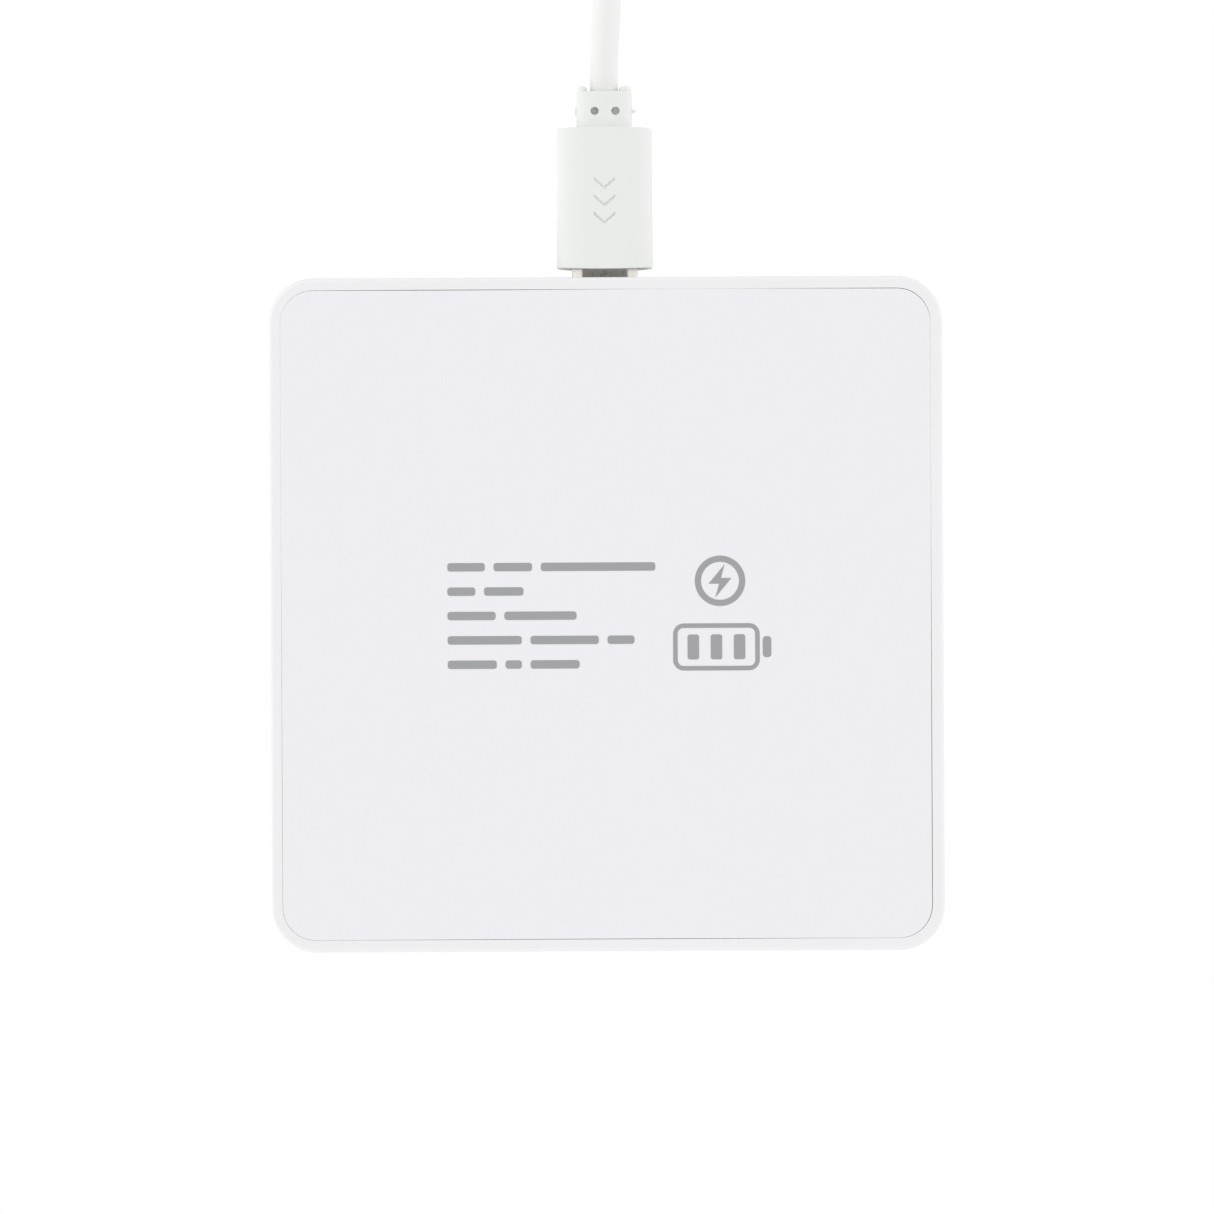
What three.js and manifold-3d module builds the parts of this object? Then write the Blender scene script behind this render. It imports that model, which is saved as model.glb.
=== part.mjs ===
// A square wireless charging pad with its micro-USB to USB-A cable plugged in.
//
// Millimetres, +Z up. The origin is the centre of the underside. +Z points out of the charging face
// and +Y out of the side that holds the port.
//
// The pad is a moulded top cover, closed from below by a base plate that snaps into it. Four screws
// hold the circuit board to bosses under the charging face. The coil and its ferrite shield lie
// between the board and the charging face, and the electronics hang under the board.

import * as THREE from "three";
import { LoftGeometry } from "three/addons/geometries/LoftGeometry.js";
import { mergeVertices } from "three/addons/utils/BufferGeometryUtils.js";
import Module from "manifold-3d";

// ---------------------------------------------------------------- driving dimensions

const PAD_SIDE = 70;
const PAD_HEIGHT = 9;
const PAD_CORNER = 4.7;
const UPPER_EDGE = 1.2; // radius of the edge round the charging face
const LOWER_EDGE = 0.45; // radius of the edge round the underside
const RIM_WIDTH = 1.18; // what shows of the cover round the base plate
const WALL = 2; // side wall above the base plate
const ROOF = 1.2; // wall under the charging face
const FIT_GAP = 0.12; // between the base plate and the rim
const REST_GAP = 0.03; // between pieces that lie on each other

const PLATE_THICKNESS = 1.2;
const BOARD_SIDE = 64;
const BOARD_THICKNESS = 1;
const BOARD_UNDERSIDE = 4.4; // height of the face that the electronics hang from
const SCREW_OFFSET = 28; // board screws sit at plus and minus this in x and y

const TAPE_THICKNESS = 0.12;
const SHIELD_THICKNESS = 0.9;
const SHIELD_RADIUS = 25;
const WIRE_DIAMETER = 1.05; // stranded coil wire
const WIRE_PITCH = 1.15;
const COIL_TURNS = 10;
const COIL_INNER = 10.4; // radius of the first turn's centre line

const PORT_HEIGHT = 3.15; // port axis above the underside
const MICRO_WIDTH = 6.85; // outside of the micro-B plug shell
const MICRO_THICK = 1.8;
const MICRO_CHAMFER = 1; // both corners of the side that faces the underside
const MICRO_WALL = 0.25;
const MICRO_PITCH = 0.65; // five contacts
const SHELL_CLEARANCE = 0.05; // round the plug shell, inside the port

const CABLE_DIAMETER = 2.9;
const CABLE_ROOM = CABLE_DIAMETER / 2 + 0.06; // radius of the plug bodies' hollow round the cable
const PLUG_FRONT = 0.92; // plug body clear of the pad wall
const PLUG_LENGTH = 14.7;
const PLUG_WIDTH = 10;
const PLUG_THICK = 5.9;
const RELIEF_LENGTH = 3.75;
const RELIEF_WIDTH = 5.72;
const RELIEF_THICK = 4.6;
const EAR_LENGTH = 0.58; // the two lips at the end of the strain relief

const TYPE_A_WIDTH = 12; // outside of the USB-A plug shell
const TYPE_A_THICK = 4.5;
const TYPE_A_WALL = 0.3;
const TYPE_A_REACH = 12; // shell that shows in front of the body
const TYPE_A_BODY = [15.6, 20, 7.6]; // width, length, thickness
const TYPE_A_RELIEF = 4.5;
const TYPE_A_PITCHES = [-3.5, -1, 1, 3.5]; // contact positions across the plug

// ---------------------------------------------------------------- materials

const material = (color, roughness, metalness = 0) =>
  new THREE.MeshStandardMaterial({ color, roughness, metalness });
const WHITE_ABS = material(0xf0f0f1, 0.45);
const WHITE_PLATE = material(0xefeef3, 0.3);
const WHITE_PVC = material(0xebedea, 0.55);
const CLEAR_PIPE = material(0xe9eef2, 0.15);
const BLACK_PLASTIC = material(0x1b1b1d, 0.5);
const STEEL = material(0xc4c3be, 0.3, 1);
const GOLD = material(0xd8b25c, 0.3, 1);
const COPPER = material(0xb8693a, 0.4, 1);
const FERRITE = material(0x3a3a3c, 0.7);
const TAPE = material(0xd9cfae, 0.6);
const BOARD_GREEN = material(0x1f5b3a, 0.5);
const CERAMIC = material(0x9c7f62, 0.6);
const LED_CLEAR = material(0xf3efd8, 0.3);
const WIRE_RED = material(0xb4231f, 0.5);
const WIRE_BLACK = material(0x18181a, 0.5);

// ---------------------------------------------------------------- solids: join and cut

const wasm = await Module();
wasm.setup();
const MERGE_DISTANCE = 1e-4;

function solidOf(geometry) {
  const loose = geometry.index ? geometry.toNonIndexed() : geometry;
  const bare = new THREE.BufferGeometry();
  bare.setAttribute("position", loose.getAttribute("position"));
  const merged = mergeVertices(bare, MERGE_DISTANCE);
  return new wasm.Manifold(
    new wasm.Mesh({
      numProp: 3,
      vertProperties: merged.attributes.position.array,
      triVerts: new Uint32Array(merged.index.array),
    }),
  );
}

function geometryOf(solid) {
  const mesh = solid.getMesh();
  const geometry = new THREE.BufferGeometry();
  geometry.setAttribute("position", new THREE.BufferAttribute(mesh.vertProperties, 3));
  geometry.setIndex(new THREE.BufferAttribute(mesh.triVerts, 1));
  return geometry;
}

const join = (...pieces) => geometryOf(pieces.map(solidOf).reduce((a, b) => a.add(b)));
const cut = (piece, ...tools) =>
  geometryOf(tools.map(solidOf).reduce((left, tool) => left.subtract(tool), solidOf(piece)));

// ---------------------------------------------------------------- shapes and simple geometries

const CORNER_SEGMENTS = 3; // an arc gets twice as many

function roundedRectangle(width, height, radius) {
  const x = width / 2 - radius;
  const y = height / 2 - radius;
  const quarter = Math.PI / 2;
  return new THREE.Shape()
    .absarc(x, y, radius, 0, quarter)
    .absarc(-x, y, radius, quarter, 2 * quarter)
    .absarc(-x, -y, radius, 2 * quarter, 3 * quarter)
    .absarc(x, -y, radius, 3 * quarter, 4 * quarter);
}

// A shape drawn in x and y, standing from bottom to top.
function slab(shape, bottom, top, curveSegments = CORNER_SEGMENTS) {
  const options = { depth: top - bottom, bevelEnabled: false, curveSegments };
  return new THREE.ExtrudeGeometry(shape, options).translate(0, 0, bottom);
}

// A shape drawn in x and z, running along y from start to end.
function bar(shape, start, end, curveSegments = CORNER_SEGMENTS) {
  const options = { depth: end - start, bevelEnabled: false, curveSegments };
  return new THREE.ExtrudeGeometry(shape, options).rotateX(Math.PI / 2).translate(0, end, 0);
}

// A box given by its lowest and highest corner.
function block([x0, y0, z0], [x1, y1, z1]) {
  return new THREE.BoxGeometry(x1 - x0, y1 - y0, z1 - z0).translate(
    (x0 + x1) / 2,
    (y0 + y1) / 2,
    (z0 + z1) / 2,
  );
}

// A round post standing on the z axis.
function post(radius, bottom, top, x = 0, y = 0, segments = 16) {
  return new THREE.CylinderGeometry(radius, radius, top - bottom, segments)
    .rotateX(Math.PI / 2)
    .translate(x, y, (bottom + top) / 2);
}

// A round rod along y.
function tunnel(radius, start, end) {
  return new THREE.CylinderGeometry(radius, radius, end - start, 16).translate(0, (start + end) / 2, 0);
}

// A superellipse in x and z: 2 is an ellipse, and higher powers come closer to a rectangle.
function superellipse(width, thickness, y, power, count) {
  const bend = (value) => Math.sign(value) * Math.abs(value) ** (2 / power);
  return Array.from({ length: count }, (_, i) => {
    const angle = (2 * Math.PI * (i + 0.5)) / count;
    const x = (-width / 2) * bend(Math.cos(angle));
    return new THREE.Vector3(x, y, (thickness / 2) * bend(Math.sin(angle)));
  });
}

// A moulded body along y whose two ends are rounded over by the given edge radius.
function mouldedBody(width, thickness, start, end, edge, power = 4, taper = 0) {
  const stations = [
    [start, edge],
    [start + 0.3 * edge, 0.3 * edge],
    [start + edge, 0],
    [end - edge, taper],
    [end - 0.3 * edge, taper + 0.3 * edge],
    [end, taper + edge],
  ];
  const sections = stations.map(([y, inset]) =>
    superellipse(width - 2 * inset, thickness - 2 * inset, y, power, 24),
  );
  return new LoftGeometry(sections, { capStart: true, capEnd: true });
}

function named(name, geometry, look, x = 0, y = 0, z = 0) {
  const mesh = new THREE.Mesh(geometry, look);
  mesh.name = name;
  mesh.position.set(x, y, z);
  return mesh;
}

// ---------------------------------------------------------------- pad: cover and base plate

const CAVITY_SIDE = PAD_SIDE - 2 * WALL;
const CAVITY_CORNER = PAD_CORNER - WALL;
const CAVITY_TOP = PAD_HEIGHT - ROOF;
const POCKET_SIDE = PAD_SIDE - 2 * RIM_WIDTH;
const POCKET_DEPTH = PLATE_THICKNESS + REST_GAP;
const PLATE_SIDE = POCKET_SIDE - 2 * FIT_GAP;
const BOARD_TOP = BOARD_UNDERSIDE + BOARD_THICKNESS;
const BOSS_RADIUS = 2.3;
const PILOT_RADIUS = 0.85;
const PORT_OPENING = [8.4, 3.4];
const PIPE_WINDOW = [2.6, 1.2];
const PIPE_HEIGHT = 3.55; // light pipe axis above the underside

// Snap hooks stand on the base plate, two on each side, with a nub that catches in the cover's wall.
const HOOK_OFFSET = 18;
const HOOK_WIDTH = 5;
const HOOK_THICKNESS = 0.9;
const HOOK_TOP = 3.3;
const HOOK_GAP = 0.15; // between a hook and the wall
const NUB = { low: 2.4, high: 3, reach: 0.4 };
const NUB_PLAY = 0.15;

const sidesOf = (make) => [0, 1, 2, 3].flatMap((side) =>
  [-HOOK_OFFSET, HOOK_OFFSET].map((along) => make(along).rotateZ((side * Math.PI) / 2)),
);

// Outline of the cover at a given inset from its widest, as a section of a loft that runs upwards.
function coverSection(inset, z) {
  const outline = roundedRectangle(
    PAD_SIDE - 2 * inset,
    PAD_SIDE - 2 * inset,
    PAD_CORNER - inset,
  );
  return outline.getPoints(CORNER_SEGMENTS).slice(0, -1).map((p) => new THREE.Vector3(p.x, p.y, z));
}

function topCover() {
  const edgeSteps = [0, 30, 60, 90].map(THREE.MathUtils.degToRad);
  const lower = edgeSteps.map((angle) =>
    coverSection(LOWER_EDGE * (1 - Math.sin(angle)), LOWER_EDGE * (1 - Math.cos(angle))),
  );
  const upper = edgeSteps.map((angle) =>
    coverSection(
      UPPER_EDGE * (1 - Math.cos(angle)),
      PAD_HEIGHT - UPPER_EDGE * (1 - Math.sin(angle)),
    ),
  );
  const outside = new LoftGeometry([...lower, ...upper], { capStart: true, capEnd: true });
  const pocket = roundedRectangle(POCKET_SIDE, POCKET_SIDE, PAD_CORNER - RIM_WIDTH);
  const cavity = roundedRectangle(CAVITY_SIDE, CAVITY_SIDE, CAVITY_CORNER);
  const wallInside = CAVITY_SIDE / 2;
  const wallOutside = PAD_SIDE / 2;
  const portOpening = bar(roundedRectangle(...PORT_OPENING, 0.8), wallInside - 1, wallOutside + 1);
  const pipeOpening = bar(roundedRectangle(...PIPE_WINDOW, 0.5), -wallOutside - 1, 1 - wallInside);
  const catches = sidesOf((along) => {
    const half = HOOK_WIDTH / 2 + NUB_PLAY;
    const depth = wallInside + NUB.reach;
    const floor = NUB.low - NUB_PLAY;
    return block([wallInside - 1, along - half, floor], [depth, along + half, NUB.high + NUB_PLAY]);
  });
  const shell = cut(
    outside,
    slab(pocket, -1, POCKET_DEPTH),
    slab(cavity, 0.5, CAVITY_TOP),
    portOpening.translate(0, 0, PORT_HEIGHT),
    pipeOpening.translate(0, 0, PIPE_HEIGHT),
    ...catches,
  );
  const corners = [-SCREW_OFFSET, SCREW_OFFSET].flatMap((x) =>
    [-SCREW_OFFSET, SCREW_OFFSET].map((y) => [x, y]),
  );
  const bossBottom = BOARD_TOP + REST_GAP;
  const bosses = corners.map(([x, y]) => post(BOSS_RADIUS, bossBottom, CAVITY_TOP + 0.5, x, y));
  const pilots = corners.map(([x, y]) => post(PILOT_RADIUS, bossBottom - 1, CAVITY_TOP, x, y, 12));
  return cut(join(shell, ...bosses), ...pilots);
}

function basePlate() {
  const outline = roundedRectangle(PLATE_SIDE, PLATE_SIDE, PAD_CORNER - RIM_WIDTH - FIT_GAP);
  const sheet = slab(outline, 0, PLATE_THICKNESS);
  const face = CAVITY_SIDE / 2 - HOOK_GAP;
  const hooks = sidesOf((along) => {
    const profile = new THREE.Shape([
      new THREE.Vector2(face - HOOK_THICKNESS, PLATE_THICKNESS - 0.2),
      new THREE.Vector2(face, PLATE_THICKNESS - 0.2),
      new THREE.Vector2(face, NUB.low),
      new THREE.Vector2(face + NUB.reach, NUB.low),
      new THREE.Vector2(face + NUB.reach, NUB.low + 0.15),
      new THREE.Vector2(face, NUB.high),
      new THREE.Vector2(face - 0.3, HOOK_TOP),
      new THREE.Vector2(face - HOOK_THICKNESS, HOOK_TOP),
    ]);
    return bar(profile, along - HOOK_WIDTH / 2, along + HOOK_WIDTH / 2);
  });
  return join(sheet, ...hooks);
}

function lightPipe() {
  const window = roundedRectangle(PIPE_WINDOW[0] - 0.1, PIPE_WINDOW[1] - 0.1, 0.45);
  const flangeStart = REST_GAP - CAVITY_SIDE / 2;
  const flange = roundedRectangle(3.8, 1.6, 0.3);
  return join(bar(window, -PAD_SIDE / 2, flangeStart + 0.2), bar(flange, flangeStart, flangeStart + 0.7));
}

// ---------------------------------------------------------------- pad: coil, shield and tapes

const SHIELD_BOTTOM = BOARD_TOP + TAPE_THICKNESS + 2 * REST_GAP;
const SHIELD_TOP = SHIELD_BOTTOM + SHIELD_THICKNESS;
const WIRE_AXIS = SHIELD_TOP + REST_GAP + WIRE_DIAMETER / 2;
const COIL_OUTER = COIL_INNER + COIL_TURNS * WIRE_PITCH;
const LEAD_END = BOARD_UNDERSIDE - 0.35; // both leads pass the board and are soldered under it
const LEAD_HOLE = 0.75;
const INNER_LEAD = COIL_INNER - 1.2; // radius at which the inner lead goes down
const OUTER_LEAD = SHIELD_RADIUS + 1.1;
const LEAD_SHIFT = 0.6; // of the outer lead in y, from where the last turn ends

// The wire's centre line and heading at each station: up through the board, round, and down again.
function coilStations() {
  const station = (x, y, z, ...heading) => ({
    at: new THREE.Vector3(x, y, z),
    heading: new THREE.Vector3(...heading).normalize(),
  });
  const perTurn = 16;
  const turns = Array.from({ length: COIL_TURNS * perTurn - 1 }, (_, i) => {
    const angle = (2 * Math.PI * (i + 1)) / perTurn;
    const [cos, sin] = [Math.cos(angle), Math.sin(angle)];
    const radius = COIL_INNER + (WIRE_PITCH * (i + 1)) / perTurn;
    return station(radius * cos, radius * sin, WIRE_AXIS, -sin, cos, 0);
  });
  const bend = 0.6;
  const corner = bend / 3;
  return [
    station(INNER_LEAD, 0, LEAD_END, 0, 0, 1),
    station(INNER_LEAD, 0, WIRE_AXIS - bend, 0, 0, 1),
    station(INNER_LEAD + corner, 0, WIRE_AXIS - corner, 1, 0, 1),
    ...turns,
    station(COIL_OUTER, 0, WIRE_AXIS, 1, 1, 0),
    station(COIL_OUTER + 1.2, LEAD_SHIFT, WIRE_AXIS, 1, 0, 0),
    station(OUTER_LEAD - bend, LEAD_SHIFT, WIRE_AXIS, 1, 0, 0),
    station(OUTER_LEAD - corner, LEAD_SHIFT, WIRE_AXIS - corner, 1, 0, -1),
    station(OUTER_LEAD, LEAD_SHIFT, WIRE_AXIS - bend, 0, 0, -1),
    station(OUTER_LEAD, LEAD_SHIFT, LEAD_END, 0, 0, -1),
  ];
}

// A six-sided wire along stations, each ring square to its heading.
function wireLoft(stations, radius, sides = 6) {
  let side = new THREE.Vector3(0, 1, 0);
  const sections = stations.map(({ at, heading }) => {
    side = side.clone().addScaledVector(heading, -side.dot(heading)).normalize();
    const across = new THREE.Vector3().crossVectors(heading, side);
    return Array.from({ length: sides }, (_, i) => {
      const angle = (2 * Math.PI * (i + 0.5)) / sides;
      return at
        .clone()
        .addScaledVector(side, radius * Math.cos(angle))
        .addScaledVector(across, radius * Math.sin(angle));
    });
  });
  return new LoftGeometry(sections, { capStart: true, capEnd: true });
}

const disc = (radius, bottom, top) => post(radius, bottom, top, 0, 0, 40);
const coil = () => wireLoft(coilStations(), WIRE_DIAMETER / 2);

// The shield has one hole, for the coil's inner lead.
function shield() {
  const hole = post(LEAD_HOLE, SHIELD_BOTTOM - 1, SHIELD_TOP + 1, INNER_LEAD, 0, 10);
  return cut(disc(SHIELD_RADIUS, SHIELD_BOTTOM, SHIELD_TOP), hole);
}

function shieldTape() {
  const bottom = BOARD_TOP + REST_GAP;
  const hole = post(LEAD_HOLE, bottom - 1, bottom + 1, INNER_LEAD, 0, 10);
  return cut(disc(SHIELD_RADIUS - 1, bottom, bottom + TAPE_THICKNESS), hole);
}

function coilTape() {
  const top = CAVITY_TOP - REST_GAP;
  const ring = new THREE.Shape().absarc(0, 0, COIL_OUTER, 0, 2 * Math.PI);
  ring.holes.push(new THREE.Path().absarc(0, 0, COIL_INNER + 1, 0, 2 * Math.PI));
  return slab(ring, WIRE_AXIS + WIRE_DIAMETER / 2 + REST_GAP, top, 16);
}

// ---------------------------------------------------------------- pad: board and electronics

const PORT_WALL = 0.25;
const TAB_X = MICRO_WIDTH / 2 + SHELL_CLEARANCE + PORT_WALL / 2; // the port shell's two legs
const TAB = { thick: PORT_WALL - 0.04, length: 1.3 };
const TAB_Y = -4.4; // from the pad's wall

function circuitBoard() {
  const sheet = slab(roundedRectangle(BOARD_SIDE, BOARD_SIDE, 2), BOARD_UNDERSIDE, BOARD_TOP, 2);
  const through = [BOARD_UNDERSIDE - 1, BOARD_TOP + 1];
  const holes = [-SCREW_OFFSET, SCREW_OFFSET].flatMap((x) =>
    [-SCREW_OFFSET, SCREW_OFFSET].map((y) => post(1.1, ...through, x, y, 12)),
  );
  const innerHole = post(LEAD_HOLE, ...through, INNER_LEAD, 0, 10);
  const outerHole = post(LEAD_HOLE, ...through, OUTER_LEAD, LEAD_SHIFT, 10);
  const slots = [-TAB_X, TAB_X].map((x) => {
    const middle = PAD_SIDE / 2 + TAB_Y;
    const half = TAB.length / 2 + 0.15;
    return block([x - 0.35, middle - half, through[0]], [x + 0.35, middle + half, through[1]]);
  });
  return cut(sheet, ...holes, innerHole, outerHole, ...slots);
}

// A cross-recess screw, head down, shank up the z axis.
function boardScrew() {
  const profile = [
    [0, -1.1],
    [1.2, -1.1],
    [1.7, -0.6],
    [1.7, 0],
    [0.75, 0],
    [0.75, 2.5],
    [0, 3.1],
  ].map(([r, z]) => new THREE.Vector2(r, z));
  const turned = new THREE.LatheGeometry(profile, 14).rotateX(Math.PI / 2);
  const recess = [
    block([-0.9, -0.17, -1.5], [0.9, 0.17, -0.55]),
    block([-0.17, -0.9, -1.5], [0.17, 0.9, -0.55]),
  ];
  return cut(turned, ...recess);
}

// A chip hanging under the board, with a row of legs on two sides.
function leadedChip(width, length, height, legs, pitch) {
  const body = block([-width / 2, -length / 2, -height], [width / 2, length / 2, -0.15]);
  const feet = Array.from({ length: legs }, (_, i) => {
    const y = (i - (legs - 1) / 2) * pitch;
    return block([-width / 2 - 0.9, y - 0.2, -0.45], [width / 2 + 0.9, y + 0.2, 0]);
  });
  return join(body, ...feet);
}

// A two-ended surface part: a ceramic or moulded body between two raised end caps.
function chipPart(length, width, height, cap = 0.45) {
  const skin = 0.04; // the end caps stand this much proud of the body
  const body = block(
    [cap / 2 - length / 2, skin - width / 2, skin - height],
    [length / 2 - cap / 2, width / 2 - skin, -skin],
  );
  const ends = [-1, 1].map((side) => {
    const inner = side * (length / 2 - cap);
    const outer = (side * length) / 2;
    return block([Math.min(inner, outer), -width / 2, -height], [Math.max(inner, outer), width / 2, 0]);
  });
  return join(body, ...ends);
}

// ---------------------------------------------------------------- micro-B outline

// Plug outline in x and z, grown outwards. Its chamfered side points down, to the underside.
function microOutline(grow, Kind = THREE.Shape) {
  const x = MICRO_WIDTH / 2 + grow;
  const z = MICRO_THICK / 2 + grow;
  const chamfer = MICRO_CHAMFER + grow * (2 - Math.SQRT2);
  return new Kind(
    [
      [x, z],
      [-x, z],
      [-x, chamfer - z],
      [chamfer - x, -z],
      [x - chamfer, -z],
      [x, chamfer - z],
    ].map(([px, pz]) => new THREE.Vector2(px, pz)),
  );
}

function microTube(innerGrow, outerGrow, start, end) {
  const outline = microOutline(outerGrow);
  outline.holes.push(microOutline(innerGrow, THREE.Path));
  return bar(outline, start, end);
}

// Heights across the mated connectors, measured from the port axis.
const TONGUE = { bottom: -0.12, top: 0.32, halfWidth: 1.85 };
const PORT_CONTACT_BOTTOM = TONGUE.bottom - 0.12;
const PLUG_CONTACT_TOP = PORT_CONTACT_BOTTOM - 0.04;
const PLUG_CONTACT_BOTTOM = PLUG_CONTACT_TOP - 0.14;
const CONTACT_HALF = 0.17;
const CONTACT_PLAY = 0.04;

const contactPositions = [-2, -1, 0, 1, 2].map((i) => i * MICRO_PITCH);

// ---------------------------------------------------------------- pad: port, in port coordinates

const PORT_MOUTH = -0.8; // y is measured outwards from the pad's wall
const PORT_BACK = -6.6;
const LATCH_X = 2.25;
const LATCH_HALF = 0.28;

function portShell() {
  const tube = microTube(SHELL_CLEARANCE, SHELL_CLEARANCE + PORT_WALL, PORT_BACK, PORT_MOUTH);
  const legs = [-TAB_X, TAB_X].map((x) => {
    const foot = MICRO_THICK / 2 - 0.6;
    const head = BOARD_TOP - PORT_HEIGHT + 0.1;
    const [start, end] = [TAB_Y - TAB.length / 2, TAB_Y + TAB.length / 2];
    return block([x - TAB.thick / 2, start, foot], [x + TAB.thick / 2, end, head]);
  });
  const latchSlots = [-LATCH_X, LATCH_X].map((x) => {
    const half = LATCH_HALF + 0.2;
    return block([x - half, -4.9, 0.6], [x + half, PORT_MOUTH + 1, MICRO_THICK]);
  });
  return cut(join(tube, ...legs), ...latchSlots);
}

function portTongue() {
  const back = bar(microOutline(SHELL_CLEARANCE - 0.08), PORT_BACK + 0.05, -5.75);
  const { halfWidth, bottom, top } = TONGUE;
  const tongue = block([-halfWidth, -6, bottom], [halfWidth, -1.6, top]);
  const grooves = contactPositions.map((x) => {
    const half = CONTACT_HALF + CONTACT_PLAY;
    const floor = PORT_CONTACT_BOTTOM - CONTACT_PLAY;
    return block([x - half, PORT_BACK - 1, floor], [x + half, -5, TONGUE.bottom + CONTACT_PLAY]);
  });
  return cut(join(back, tongue), ...grooves);
}

// A strip under the tongue, whose tail bends up to the board behind the port.
function portContact() {
  const board = BOARD_UNDERSIDE - PORT_HEIGHT - REST_GAP;
  const rear = PORT_BACK - 0.35;
  const top = TONGUE.bottom - REST_GAP;
  const side = [
    [-1.9, PORT_CONTACT_BOTTOM],
    [-1.9, top],
    [rear + 0.12, top],
    [rear + 0.12, board],
    [rear - 0.9, board],
    [rear - 0.9, board - 0.12],
    [rear, board - 0.12],
    [rear, PORT_CONTACT_BOTTOM],
  ];
  return sideProfile(side, CONTACT_HALF);
}

// A profile drawn in y and z, as thick as twice the half width along x.
function sideProfile(points, halfWidth) {
  const shape = new THREE.Shape(points.map(([y, z]) => new THREE.Vector2(y, z)));
  const depth = 2 * halfWidth;
  return new THREE.ExtrudeGeometry(shape, { depth, bevelEnabled: false })
    .rotateX(Math.PI / 2)
    .rotateZ(Math.PI / 2)
    .translate(-halfWidth, 0, 0);
}

// ---------------------------------------------------------------- cable: micro plug, in port coordinates

const TIP = -5.5;
const SHELL_BACK = 5;
const INSULATOR_BACK = 6;
const LATCH_ROOT = 2.3; // y of the line that each latch bends about
const LATCH_TOP = 1.17;
const PLUG_BACK = PLUG_FRONT + PLUG_LENGTH;
const RELIEF_END = PLUG_BACK + RELIEF_LENGTH;
const CABLE_START = 11.5;
const PIN_MARK = { x: 1.08, y: RELIEF_END - 2, radius: 0.43, depth: 1.05 };

function microPlugShell() {
  const tube = microTube(-MICRO_WALL, 0, TIP, SHELL_BACK);
  const slots = [-LATCH_X, LATCH_X].map((x) => {
    const half = LATCH_HALF + 0.08;
    return block([x - half, -4.75, 0.5], [x + half, -3.2, 1.2]);
  });
  return cut(tube, ...slots);
}

// Fills the back of the shell, with a thin floor under the contacts at the front.
function microPlugInsulator() {
  const inside = -MICRO_WALL - REST_GAP;
  const back = bar(microOutline(inside), -0.3, INSULATOR_BACK);
  const floorBottom = -MICRO_THICK / 2 - inside;
  const floor = block([-1.75, TIP + 0.3, floorBottom], [1.75, 0, PLUG_CONTACT_BOTTOM - REST_GAP]);
  const contactSlots = contactPositions.map((x) => {
    const half = CONTACT_HALF + CONTACT_PLAY;
    const low = PLUG_CONTACT_BOTTOM - REST_GAP;
    const high = PLUG_CONTACT_TOP + REST_GAP;
    return block([x - half, TIP - 1, low], [x + half, INSULATOR_BACK + 1, high]);
  });
  const latchSlots = [-LATCH_X, LATCH_X].map((x) => {
    const half = LATCH_HALF + 0.08;
    return block([x - half, -1, -0.35], [x + half, LATCH_ROOT + 1, 1]);
  });
  return cut(join(back, floor), ...contactSlots, ...latchSlots);
}

function microPlugContact() {
  return block(
    [-CONTACT_HALF, TIP + 0.6, PLUG_CONTACT_BOTTOM],
    [CONTACT_HALF, INSULATOR_BACK + 1.2, PLUG_CONTACT_TOP],
  );
}

// A leaf spring with a hook at its free end that stands out of the shell's wide side. The port's
// slots are open towards the plug, so the plug also slides out with its latches at rest.
function microPlugLatch() {
  return sideProfile(
    [
      [-4.5, 0.33],
      [LATCH_ROOT + 0.5, 0.33],
      [LATCH_ROOT + 0.5, 0.58],
      [-3.5, 0.58],
      [-3.75, LATCH_TOP - 0.05],
      [-4, LATCH_TOP],
      [-4.5, 0.6],
    ],
    LATCH_HALF,
  );
}

// Three nested arrowheads that point along y, forwards or backwards, as cutters for a sunk mark.
const ARROW = { half: 1.1, rise: 0.95, line: 0.32, depth: 0.22 };

function arrows(tip, direction, pitch, bottom, top) {
  return [0, 1, 2].map((i) => {
    const y = (back) => tip - direction * (i * pitch + back);
    const outline = [
      [0, y(0)],
      [ARROW.half, y(ARROW.rise)],
      [ARROW.half, y(ARROW.rise + ARROW.line)],
      [0, y(ARROW.line)],
      [-ARROW.half, y(ARROW.rise + ARROW.line)],
      [-ARROW.half, y(ARROW.rise)],
    ];
    const shape = new THREE.Shape(outline.map(([x, along]) => new THREE.Vector2(x, along)));
    return slab(shape, bottom, top);
  });
}

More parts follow.
